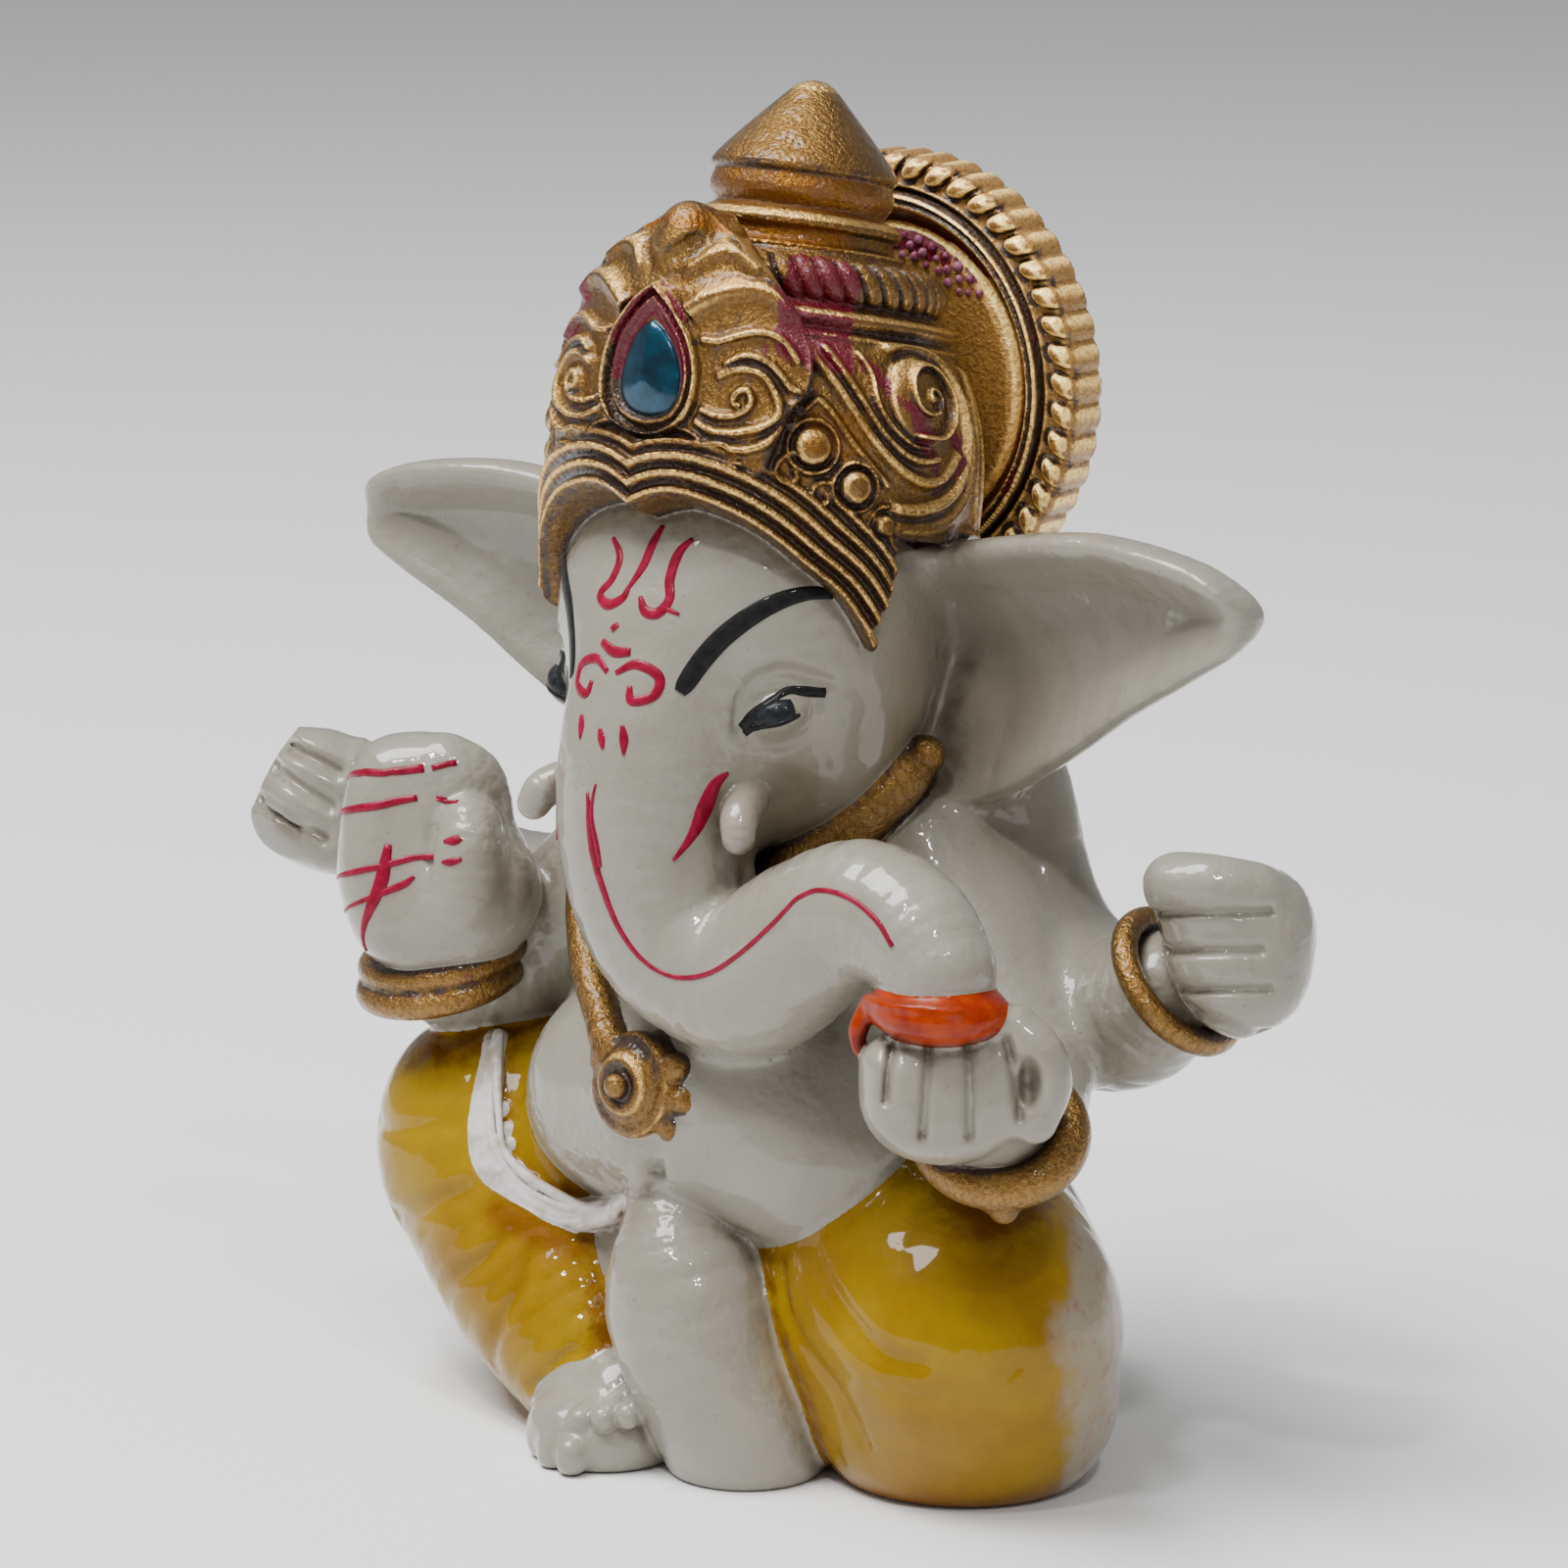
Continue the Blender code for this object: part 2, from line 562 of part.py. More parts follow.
def build_legs():
    """Folded legs in the dhoti, bare left shin in front, toes of the right foot."""
    arms = ["arm_front_left", "arm_front_right", "arm_rear_left", "arm_rear_right"]
    wrists = ["bangle_front_left", "bangle_front_right_upper",
              "bangle_front_right_lower", "hand_front_left", "hand_front_right"]
    node("leg_left", "glazed_white", [
        (limb, dict(points=[(1.0, -10.6, 12.6, 2.9), (2.2, -10.8, 8.8, 4.6),
                            (4.2, -10.1, 4.0, 4.6), (4.8, -9.4, 1.6, 4.4)])),
    ], cut_by=["torso"], grounded=True)
    foot = [(limb, dict(points=[(-8.0, -7.0, 3.2, 3.0), (-4.8, -10.2, 2.8, 3.1)],
                        steps=2))]
    for k in range(4):
        x = -8.0 + 1.7 * k
        foot.append((limb, dict(points=[(x, -8.6, 3.0, 1.4),
                                        (x + 0.6, -11.2 - 0.5 * k, 2.2, 1.5)],
                                steps=1, sides=6)))
    node("foot_right", "glazed_white", foot, cut_by=["leg_left"], grounded=True)
    sash = []
    for k in range(9):
        angle = math.radians(200.0 + 9.5 * k)
        drop = 21.0 - 0.85 * k
        sash.append((0.4 + 13.6 * math.cos(angle), -2.2 + 12.4 * math.sin(angle), drop, 1.0))
    node("waist_sash", "white_brushwork", [(limb, dict(points=sash, steps=1, sides=8))],
         cut_by=["torso", "leg_left", "pendant"] + arms)
    node("dhoti_left", "yellow_paint", [
        (limb, dict(points=[(8.5, -0.6, 9.6, KNEE_RADIUS + 0.8),
                            (12.6, -2.8, 9.2, KNEE_RADIUS + 0.7),
                            (15.4, -4.2, 8.6, KNEE_RADIUS)], sides=12)),
    ], cut_by=["torso", "leg_left"] + arms + wrists, grounded=True)
    node("dhoti_right", "yellow_paint", [
        (limb, dict(points=[(-7.5, 0.0, 11.5, 8.4), (-12.0, -2.4, 13.0, 7.8),
                            (-16.2, -4.2, 14.0, 7.2)], sides=12)),
        (limb, dict(points=[(-15.2, -4.8, 12.0, 7.0), (-10.6, -7.0, 7.4, 6.0),
                            (-6.6, -8.6, 4.2, 4.8)], sides=12)),
    ], cut_by=["torso", "leg_left", "foot_right", "waist_sash", "dhoti_left"] + arms
        + wrists, grounded=True)
    node("hips", "glazed_white", [
        (ball, dict(centre=(0.6, 2.2, 7.8), radii=(17.0, 12.6, 12.0), segments=18,
                    rings=10)),
    ], cut_by=["torso", "leg_left", "foot_right", "waist_sash", "dhoti_left",
               "dhoti_right"] + arms, grounded=True)


clear_scene()
PARTS = collection("ganesha_idol")
CUTTERS = collection("cutters")
ground_mesh = bpy.data.meshes.new("ground")
ground_bm = bmesh.new()
bmesh.ops.create_cube(ground_bm, size=1.0)
bmesh.ops.scale(ground_bm, vec=(0.2, 0.2, GROUND_DEPTH * MM), verts=ground_bm.verts)
bmesh.ops.translate(ground_bm, vec=(0, 0, -GROUND_DEPTH * MM / 2), verts=ground_bm.verts)
ground_bm.to_mesh(ground_mesh)
ground_bm.free()
GROUND = object_from("ground", ground_mesh)

build_head()
build_crown()
build_ears()
build_halo()
build_rear_arms()
build_blessing_arm()
build_sweet_arm()
build_body()
build_legs()
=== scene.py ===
"""Ganesha idol: the glazed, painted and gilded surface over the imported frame.

The body is sculpted as distance fields in millimetres, in the frame's own axes
(+Z up, the figure faces -Y, its own left is +X).  Every member is its own
closed mesh, and neighbouring members share one smoothly blended surface.
"""
import json
import math
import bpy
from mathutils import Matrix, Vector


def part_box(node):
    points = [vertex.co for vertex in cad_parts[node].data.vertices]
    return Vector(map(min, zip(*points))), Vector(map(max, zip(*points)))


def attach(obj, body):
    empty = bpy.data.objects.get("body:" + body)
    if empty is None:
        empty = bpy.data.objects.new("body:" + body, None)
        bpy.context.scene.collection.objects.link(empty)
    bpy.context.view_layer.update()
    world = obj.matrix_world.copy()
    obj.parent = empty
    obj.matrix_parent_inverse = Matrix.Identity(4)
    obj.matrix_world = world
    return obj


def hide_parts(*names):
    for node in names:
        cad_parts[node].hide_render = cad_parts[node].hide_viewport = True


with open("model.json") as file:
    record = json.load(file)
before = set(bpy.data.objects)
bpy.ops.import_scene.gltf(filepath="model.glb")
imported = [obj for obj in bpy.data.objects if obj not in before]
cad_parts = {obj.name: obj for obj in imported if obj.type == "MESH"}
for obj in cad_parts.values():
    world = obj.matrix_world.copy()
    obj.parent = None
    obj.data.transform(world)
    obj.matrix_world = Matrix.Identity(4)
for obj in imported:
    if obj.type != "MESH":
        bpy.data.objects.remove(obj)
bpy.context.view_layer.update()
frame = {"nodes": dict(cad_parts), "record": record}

from concurrent.futures import ThreadPoolExecutor

import bpy
import numpy as np
from mathutils import Matrix, Vector

MM = 0.001
FINE = 1.0       # share of the full mesh resolution


# ------------------------------------------------------------------ the camera

def add_camera():
    """A camera at the front left, a little above the figure's middle."""
    azimuth, elevation = math.radians(38.0), math.radians(12.0)
    distance = 0.320
    target = Vector((0.0, 0.0, 0.035))
    away = Vector((math.sin(azimuth) * math.cos(elevation),
                   -math.cos(azimuth) * math.cos(elevation), math.sin(elevation)))
    data = bpy.data.cameras.new("camera")
    data.sensor_width = 36.0
    data.lens = 136.8
    data.clip_start = 0.01
    camera = bpy.data.objects.new("camera", data)
    bpy.context.scene.collection.objects.link(camera)
    camera.location = target + away * distance
    camera.rotation_euler = away.to_track_quat("Z", "Y").to_euler()
    bpy.context.scene.camera = camera


add_camera()


# ------------------------------------------------------------- distance fields

def ball(points, centre, radii, turn=(0, 0, 0)):
    """Distance to an ellipsoid; turn is Euler degrees about X, Y and Z."""
    local = points - np.array(centre, np.float32)
    if any(turn):
        local = local @ rotation(turn)
    radii = np.array(radii, np.float32)
    near = np.sqrt(((local / radii) ** 2).sum(1)) + 1e-6
    slope = np.sqrt(((local / radii ** 2) ** 2).sum(1)) + 1e-6
    return near * (near - 1.0) / slope


def rotation(turn):
    """Rotation matrix of Euler degrees, applied X first."""
    a, b, c = (math.radians(angle) for angle in turn)
    spin = Matrix.Rotation(c, 3, "Z") @ Matrix.Rotation(b, 3, "Y")
    return np.array(spin @ Matrix.Rotation(a, 3, "X"), np.float32)


def route(rows, steps=4):
    """Catmull-Rom curve through rows of numbers, as an array."""
    rows = np.array(rows, np.float32)
    rows = np.vstack([2 * rows[0] - rows[1], rows, 2 * rows[-1] - rows[-2]])
    made = []
    for i in range(1, len(rows) - 2):
        before, start, end, after = rows[i - 1:i + 3]
        for k in range(steps):
            t = k / steps
            turn = (end - before) * t
            bend = (2 * before - 5 * start + 4 * end - after) * t * t
            last = (3 * start - before - 3 * end + after) * t ** 3
            made.append(start + 0.5 * (turn + bend + last))
    made.append(rows[-2])
    return np.array(made, np.float32)


def tube(points, rows, steps=4):
    """Distance to a round limb with rows of (x, y, z, radius)."""
    curve = route(rows, steps)
    best = np.full(len(points), 1e3, np.float32)
    for start, end in zip(curve, curve[1:]):
        along = end[:3] - start[:3]
        offset = points - start[:3]
        share = np.clip(offset @ along / max(1e-9, along @ along), 0.0, 1.0)
        reach = offset - share[:, None] * along
        radius = start[3] + share * (end[3] - start[3])
        best = np.minimum(best, np.sqrt((reach ** 2).sum(1)) - radius)
    return best


def join(a, b, blend):
    """Smooth union of two distances."""
    if blend <= 0:
        return np.minimum(a, b)
    share = np.clip(0.5 + 0.5 * (b - a) / blend, 0.0, 1.0)
    return b + (a - b) * share - blend * share * (1.0 - share)


def cut(a, b, blend):
    """Smooth difference: a without b."""
    return -join(-a, b, blend)


def meet(a, b, blend):
    """Smooth intersection of two distances."""
    return -join(-a, -b, blend)


def bump(distance, width):
    """A soft ridge profile: 1 at distance 0, falling to 0 at the width."""
    return np.exp(-(distance / width) ** 2)


# --------------------------------------------------------------- surface nets

def live_blocks(field, low, cell, corners, block, values):
    """Fill the solid blocks of cells, and return the blocks near the surface."""
    step = np.arange(block + 1)
    inner = np.stack(np.meshgrid(step, step, step, indexing="ij"), -1).reshape(-1, 3)
    middle = field((low + (corners + block / 2) * cell).astype(np.float32))
    reach = block / 2 * cell * math.sqrt(3) * 1.35 + cell
    nodes = (corners[middle <= -reach][:, None, :] + inner).reshape(-1, 3)
    values[nodes[:, 0], nodes[:, 1], nodes[:, 2]] = -1.0
    live = corners[np.abs(middle) < reach]
    return live, (live[:, None, :] + inner).reshape(-1, 3)


def grid_mesh(field, low, high, cell):
    """Mesh a distance field inside a box: vertices and quads."""
    low = np.array(low, np.float32) - 2 * cell
    high = np.array(high, np.float32) + 2 * cell
    coarse, fine = 8, 2
    blocks = np.ceil((high - low) / cell / coarse).astype(int)
    values = np.ones(blocks * coarse + 1, np.float32)
    corners = np.argwhere(np.ones(blocks, bool)) * coarse
    live, _ = live_blocks(field, low, cell, corners, coarse, values)
    offsets = np.argwhere(np.ones([coarse // fine] * 3, bool)) * fine
    corners = (live[:, None, :] + offsets).reshape(-1, 3)
    _, nodes = live_blocks(field, low, cell, corners, fine, values)
    wanted = np.zeros(values.shape, bool)
    wanted[nodes[:, 0], nodes[:, 1], nodes[:, 2]] = True
    nodes = np.argwhere(wanted)
    batch = 60000
    for first in range(0, len(nodes), batch):
        some = nodes[first:first + batch]
        found = field((low + some * cell).astype(np.float32))
        values[some[:, 0], some[:, 1], some[:, 2]] = found
    for axis in range(3):
        for end in (0, -1):
            wall = [slice(None)] * 3
            wall[axis] = end
            values[tuple(wall)] = np.maximum(values[tuple(wall)], 0.5 * cell)
    return nets(values, low, cell, field)


def nets(values, low, cell, field):
    """Surface nets on a dense grid, then pulled onto the field's zero level."""
    inside = values < 0
    count = np.zeros(np.array(values.shape) - 1, np.uint8)
    offsets = [(i, j, k) for i in (0, 1) for j in (0, 1) for k in (0, 1)]
    shape = count.shape
    for i, j, k in offsets:
        count += inside[i:i + shape[0], j:j + shape[1], k:k + shape[2]]
    cells = np.argwhere((count > 0) & (count < 8))
    number = np.full(shape, -1, np.int32)
    number[cells[:, 0], cells[:, 1], cells[:, 2]] = np.arange(len(cells))
    corners = {}
    for offset in offsets:
        spot = cells + offset
        corners[offset] = values[spot[:, 0], spot[:, 1], spot[:, 2]]
    total = np.zeros((len(cells), 3), np.float32)
    hits = np.zeros(len(cells), np.float32)
    for axis in range(3):
        others = [n for n in range(3) if n != axis]
        for a in (0, 1):
            for b in (0, 1):
                start = [0, 0, 0]
                start[others[0]], start[others[1]] = a, b
                end = list(start)
                end[axis] = 1
                first, second = corners[tuple(start)], corners[tuple(end)]
                crossed = (first < 0) != (second < 0)
                gap = np.where(crossed, first - second, 1.0)
                share = np.where(crossed, first / gap, 0.0)
                spot = np.tile(np.array(start, np.float32), (len(cells), 1))
                spot[:, axis] = share
                total += np.where(crossed[:, None], spot, 0.0)
                hits += crossed
    verts = low + (cells + total / hits[:, None]) * cell
    verts = verts.astype(np.float32)
    slope = gradient(field, verts, 0.04)
    length = np.maximum((slope ** 2).sum(1), 0.25)
    for _ in range(2):
        move = np.clip(field(verts) / length, -0.6 * cell, 0.6 * cell)
        verts = verts - move[:, None] * slope
    faces = []
    for axis in range(3):
        u, v = [(1, 2), (2, 0), (0, 1)][axis]
        first = [slice(None)] * 3
        second = [slice(None)] * 3
        first[axis], second[axis] = slice(None, -1), slice(1, None)
        a, b = inside[tuple(first)], inside[tuple(second)]
        edges = np.argwhere(a != b)
        flip = a[edges[:, 0], edges[:, 1], edges[:, 2]]
        keep = (edges[:, u] > 0) & (edges[:, v] > 0)
        keep &= (edges[:, u] < shape[u]) & (edges[:, v] < shape[v])
        edges, flip = edges[keep], flip[keep]
        quad = []
        for du, dv in ((-1, -1), (0, -1), (0, 0), (-1, 0)):
            spot = edges.copy()
            spot[:, u] += du
            spot[:, v] += dv
            quad.append(number[spot[:, 0], spot[:, 1], spot[:, 2]])
        quad = np.stack(quad, 1)
        quad[~flip] = quad[~flip][:, ::-1]
        faces.append(quad)
    faces = np.vstack(faces)
    return verts, faces[(faces >= 0).all(1)]


def gradient(field, points, step):
    """Gradient of a field by four samples at a tetrahedron's corners."""
    slope = np.zeros((len(points), 3), np.float32)
    for corner in ((1, -1, -1), (-1, -1, 1), (-1, 1, -1), (1, 1, 1)):
        corner = np.array(corner, np.float32)
        slope += field(points + corner * step)[:, None] * corner
    return slope / (4 * step)


# ------------------------------------------------------------- the body's form

def mirror(points):
    """The same points on the figure's other side."""
    return points * np.array((-1, 1, 1), np.float32)


def both_sides(points):
    """Points folded onto the figure's left side."""
    folded = points.copy()
    folded[:, 0] = np.abs(folded[:, 0])
    return folded


def score(d, p, rows, depth, width, steps=3):
    """Press a soft groove along rows of (x, y, z); a negative depth raises a ridge."""
    away = tube(p, [(*row, 0.0) for row in rows], steps)
    return d + depth * bump(away, width)


def outline(x, z, points):
    """Signed distance to a closed outline in a plane, negative inside."""
    curve = route(points + [points[0]], 3)
    best = np.full(len(x), 1e3, np.float32)
    inside = np.zeros(len(x), bool)
    for (ax, az), (bx, bz) in zip(curve, curve[1:]):
        length = max(1e-9, (bx - ax) ** 2 + (bz - az) ** 2)
        share = np.clip(((x - ax) * (bx - ax) + (z - az) * (bz - az)) / length, 0, 1)
        best = np.minimum(best, np.hypot(x - ax - share * (bx - ax), z - az - share * (bz - az)))
        if az != bz:
            level = ax + (z - az) * (bx - ax) / (bz - az)
            inside ^= ((az > z) != (bz > z)) & (x < level)
    return np.where(inside, -best, best)


def head(p):
    q = both_sides(p)
    d = ball(q, (0, -3.0, 43.0), (10.3, 9.9, 10.6))
    d = join(d, ball(q, (0, -3.6, 46.6), (9.2, 7.8, 7.0)), 2.5)
    d = join(d, ball(q, (0, -4.5, 38.4), (8.6, 7.4, 5.6)), 2.0)
    d = cut(d, ball(q, (9.0, -11.8, 41.6), (2.9, 2.9, 2.4)), 1.3)
    d = join(d, ball(q, (6.6, -8.9, 41.1), (1.9, 1.85, 1.35), (0, -14, 38)), 0.5)
    d = score(d, q, [(5.7, -11.2, 40.7), (5.9, -11.1, 42.1), (6.7, -10.6, 43.2),
                     (7.7, -9.6, 43.5), (8.6, -8.6, 43.1), (9.2, -7.8, 42.8)], 0.55, 0.32)
    d = score(d, q, [(5.8, -11.1, 40.3), (6.6, -10.6, 39.6), (7.8, -9.7, 39.8),
                     (8.8, -8.5, 41.2)], 0.32, 0.4)
    d = cut(d, ball(q, (7.9, -10.2, 35.6), (1.9, 2.4, 2.7)), 0.9)
    return score(d, q, [(4.6, -13.0, 35.2), (5.4, -12.0, 37.3), (6.4, -10.8, 38.4),
                        (7.6, -9.0, 37.6)], 0.25, 0.6)


def trunk(p):
    return tube(p, [(0, -8.6, 43.5, 5.4), (0, -10.6, 38.0, 5.3), (0.3, -11.2, 33.0, 5.0),
                    (2.2, -11.1, 29.0, 4.7), (6.5, -11.2, 27.6, 4.3),
                    (10.6, -11.8, 30.2, 4.1), (14.8, -12.4, 32.4, 3.7),
                    (18.3, -13.0, 31.9, 3.3), (20.4, -13.5, 30.3, 2.9)])


def tusk_left(p):
    return tube(p, [(5.4, -10.0, 36.6, 1.1), (6.5, -12.0, 36.0, 1.05), (6.9, -12.6, 35.2, 0.9)])


def tusk_right(p):
    return tusk_left(mirror(p))


EAR = [(4.0, 47.4), (7.9, 48.6), (12.1, 49.5), (16.3, 50.3), (19.8, 50.7), (23.4, 50.6),
       (26.8, 50.1), (29.2, 49.1), (30.3, 47.5), (29.8, 45.8), (27.4, 44.2), (22.6, 41.4),
       (19.4, 39.2), (16.4, 37.3), (13.0, 35.6), (8.0, 34.6), (4.0, 37.0)]


def ear_left(p, reach=1.0):
    x = 7.0 + (p[:, 0] - 7.0) / reach
    y, z = p[:, 1], p[:, 2]
    u = np.clip((x - 7.0) / 22.3, 0.0, 1.1)
    upper = np.interp(x, (4, 12, 20, 27, 31), (47.4, 49.5, 50.7, 50.1, 48.6))
    lower = np.interp(x, (4, 13, 17, 22, 27, 31), (35.6, 35.6, 37.6, 41.0, 44.0, 46.0))
    v = np.clip((z - lower) / np.maximum(upper - lower, 0.5), 0.0, 1.0)
    cup = 3.6 * np.sin(np.pi * v) * (1 - 0.55 * u)
    middle = 0.8 + cup - 2.4 * u * u + (1 - u) * (1 - v)
    edge = outline(x, z, EAR)
    roll = np.clip(v * 1.6 - 0.3, 0, 1) + 0.35 * u
    thick = 1.15 + 0.60 * roll * bump(edge + 1.3, 1.3)
    thick -= 0.16 * bump(edge + 3.0, 0.5) * roll
    leaf = (np.abs(y - middle) - thick) * 0.8
    return meet(leaf, edge * 0.9, 1.1)


def ear_right(p):
    return ear_left(mirror(p), 0.94)


def torso(p):
    d = ball(p, (0.4, -2.0, 19.0), (12.8, 11.4, 8.4))
    d = join(d, ball(p, (0, 1.0, 28.6), (11.6, 8.0, 9.6)), 1.5)
    d = join(d, ball(p, (0, 5.4, 30.0), (14.6, 5.6, 8.8)), 1.5)
    shawl = tube(both_sides(p), [(10.2, 5.2, 39.5, 2.6), (11.4, 5.6, 35.0, 3.0),
                                 (12.2, 5.4, 30.0, 3.4), (12.6, 4.6, 25.0, 3.6)])
    d = join(d, shawl, 1.2)
    d = join(d, ball(p, (6.4, -6.7, 17.4), (6.4, 5.4, 5.4)), 0.8)
    d = join(d, ball(p, (-4.6, -6.4, 18.6), (6.6, 5.9, 6.0)), 0.8)
    d = score(d, p, [(13.2, 0.4, 37.0), (13.0, 0.2, 34.5), (13.6, 0.3, 32.0),
                     (15.0, 0.6, 29.8)], -0.8, 0.8)
    d = score(d, p, [(14.8, 2.6, 35.0), (14.6, 2.8, 32.0), (16.0, 2.6, 29.5)], 0.45, 0.5)
    d = score(d, p, [(16.3, 5.0, 34.5), (15.6, 4.6, 31.5), (16.6, 4.2, 29.0)], 0.35, 0.4)
    d = score(d, p, [(1.2, -13.4, 16.6), (1.2, -12.2, 16.4)], 0.7, 0.42)
    d = score(d, p, [(0.9, -12.6, 14.4), (1.2, -12.6, 16.0), (1.8, -12.6, 18.0),
                     (3.0, -12.6, 20.0)], 0.35, 0.7)
    d = score(d, p, [(0.4, -12.6, 16.0), (-0.6, -12.2, 14.8), (-1.4, -11.8, 13.9)], -0.5, 0.6)
    return score(d, p, [(-1.6, -13.0, 13.8), (0.6, -13.0, 13.6), (2.6, -12.6, 14.2)], 0.3, 0.5)


def hips(p):
    return ball(p, (0.6, 2.2, 7.8), (17.0, 12.6, 12.0))


def leg_left(p):
    return tube(p, [(1.0, -10.6, 12.6, 2.9), (2.2, -10.8, 8.8, 4.6), (4.2, -10.1, 4.0, 4.6),
                    (4.8, -9.4, 1.6, 4.4)])


def foot_right(p):
    d = tube(p, [(-8.0, -7.0, 3.2, 3.0), (-4.8, -10.2, 2.8, 3.1)])
    d = join(d, ball(p, (-2.8, -11.8, 1.4), (4.3, 4.4, 2.9)), 1.0)
    d = join(d, ball(p, (-2.0, -11.4, 3.4), (2.2, 2.4, 2.2)), 0.8)
    for x, y, z in ((-4.4, -14.3, 2.0), (-3.1, -15.1, 2.5), (-1.8, -15.2, 2.8),
                    (-0.5, -14.9, 3.1), (0.6, -14.2, 3.3)):
        d = join(d, tube(p, [(x + 0.2, y + 2.2, z + 0.6, 0.9), (x, y, z, 0.72)], 1), 0.15)
    for x, y, z in ((-4.9, -14.5, 0.9), (-3.4, -15.6, 0.9), (-1.8, -16.0, 1.0)):
        d = join(d, ball(p, (x, y, z), (0.9, 0.9, 1.1)), 0.35)
    return d


def dhoti_left(p):
    d = tube(p, [(8.5, -0.6, 9.6, 9.1), (12.6, -2.8, 9.2, 9.0), (15.4, -4.2, 8.6, 8.3)])
    d = join(d, ball(p, (14.0, -2.8, 4.6), (8.6, 8.2, 7.0)), 1.0)
    d = score(d, p, [(10.0, -10.6, 13.2), (11.7, -11.4, 11.9), (14.2, -12.2, 10.3),
                     (16.2, -12.4, 9.2), (18.2, -12.0, 9.0)], 0.42, 0.55)
    d = score(d, p, [(7.4, -10.2, 12.0), (8.5, -10.9, 9.8), (10.5, -11.6, 8.1),
                     (12.6, -11.8, 6.4), (13.8, -11.2, 3.6)], 0.48, 0.5)
    d = score(d, p, [(7.0, -11.0, 9.0), (8.0, -11.6, 6.0), (9.8, -11.2, 3.8),
                     (11.4, -10.4, 1.8)], 0.38, 0.5)
    d = score(d, p, [(15.6, -12.4, 7.4), (18.8, -11.7, 7.0), (21.0, -10.4, 7.6),
                     (22.2, -9.0, 9.0)], 0.18, 0.5)
    return score(d, p, [(11.2, -11.0, 10.4), (13.6, -12.0, 8.6), (16.0, -12.2, 7.6)],
                 -0.18, 0.7)


def dhoti_right(p):
    d = tube(p, [(-7.5, 0.0, 11.5, 8.4), (-12.0, -2.4, 13.0, 7.8), (-16.2, -4.2, 14.0, 7.2)])
    shin = tube(p, [(-15.2, -4.8, 12.0, 7.0), (-10.6, -7.0, 7.4, 6.0),
                    (-6.6, -8.6, 4.2, 4.8)])
    d = join(d, shin, 1.5)
    d = join(d, ball(p, (-10.4, -3.8, 14.2), (5.8, 6.2, 5.6)), 1.2)
    d = score(d, p, [(-21.4, -9.0, 14.6), (-18.2, -11.2, 15.1), (-14.0, -11.2, 16.1)],
              0.22, 0.6)
    d = score(d, p, [(-19.4, -10.0, 9.8), (-16.8, -11.6, 10.6), (-12.8, -12.0, 12.8)],
              0.32, 0.6)
    d = score(d, p, [(-14.6, -12.4, 6.9), (-12.7, -12.7, 8.1), (-10.5, -12.6, 9.5),
                     (-9.6, -12.0, 10.8)], 0.35, 0.55)
    d = score(d, p, [(-10.4, -12.6, 3.6), (-8.8, -13.1, 6.6), (-8.0, -12.4, 8.6),
                     (-8.0, -11.6, 10.2)], 0.22, 0.5)
    return score(d, p, [(-6.6, -13.2, 3.1), (-4.4, -12.8, 5.3)], 0.35, 0.5)


def arm_rear_left(p, x=30.0):
    return tube(p, [(10.5, 4.6, 29.0, 4.4), (15.5, 4.4, 25.2, 4.6), (20.5, 2.8, 25.0, 4.1),
                    (x - 5.8, 1.2, 27.0, 3.2)])


def arm_rear_right(p):
    return arm_rear_left(mirror(p), 31.8)


FACING = (-12, 0, 38)            # the hands' shared frame: X right, Y away, Z up


def facing(p):
    """Points in the hands' turned frame, from the figure's middle."""
    return ((p - np.array((0, 0, 35), np.float32)) @ rotation(FACING)).astype(np.float32)


def slab(q, shape, spread, middle, half, blend):
    """A padded slab with an outline in the turned frame."""
    points = [(x * spread, z * spread) for x, z in shape]
    edge = outline(q[:, 0], q[:, 2], points)
    away = np.clip(-edge / (2.2 * half), 0, 1)
    face = np.abs(q[:, 1] - middle) - half * (0.72 + 0.28 * np.sqrt(away))
    return meet(face * 0.9, edge, blend)


def scratch(d, q, rows, middle, depth, width):
    """Groove the front of a hand along rows of (x, z) in its turned frame."""
    level = q * np.array((1, 0, 1), np.float32)
    away = tube(level, [(x, 0.0, z, 0.0) for x, z in rows], 3)
    return d + depth * bump(away, width) * (q[:, 1] < middle)


FIST = [(19.5, -5.0), (20.0, -4.3), (21.3, -3.8), (23.1, -3.9), (25.1, -4.2), (26.7, -4.6),
        (27.9, -5.6), (28.5, -7.1), (28.6, -8.5), (28.3, -10.4), (27.7, -11.9), (26.7, -12.9),
        (25.6, -13.4), (24.3, -13.7), (22.8, -13.1), (21.6, -11.9), (20.8, -10.4),
        (20.4, -8.8), (20.0, -7.1), (19.6, -6.2)]
OPEN_HAND = [(-26.1, 3.1), (-24.4, 3.0), (-23.2, 2.6), (-22.2, 2.3), (-20.6, 0.6),
             (-20.4, -2.4), (-21.4, -4.8), (-24.3, -4.9), (-26.0, -4.4), (-27.4, -3.7),
             (-28.3, -2.8), (-28.7, -1.6), (-28.4, -0.8), (-27.9, 0.4), (-27.1, 1.8)]
PALM = [(-22.5, 2.2), (-23.5, 0.3), (-23.95, -2.0), (-24.1, -4.7), (-23.75, -6.6),
        (-23.1, -8.3), (-22.3, -9.3), (-21.0, -10.0), (-19.6, -10.35), (-17.9, -10.0),
        (-16.5, -9.3), (-14.8, -8.3), (-13.6, -6.7), (-13.4, -5.4), (-13.95, -3.6),
        (-14.3, -2.6), (-15.0, -1.0), (-15.3, 0.0), (-16.0, 1.3), (-17.3, 2.35),
        (-18.6, 2.8), (-20.0, 2.85), (-21.3, 2.7)]
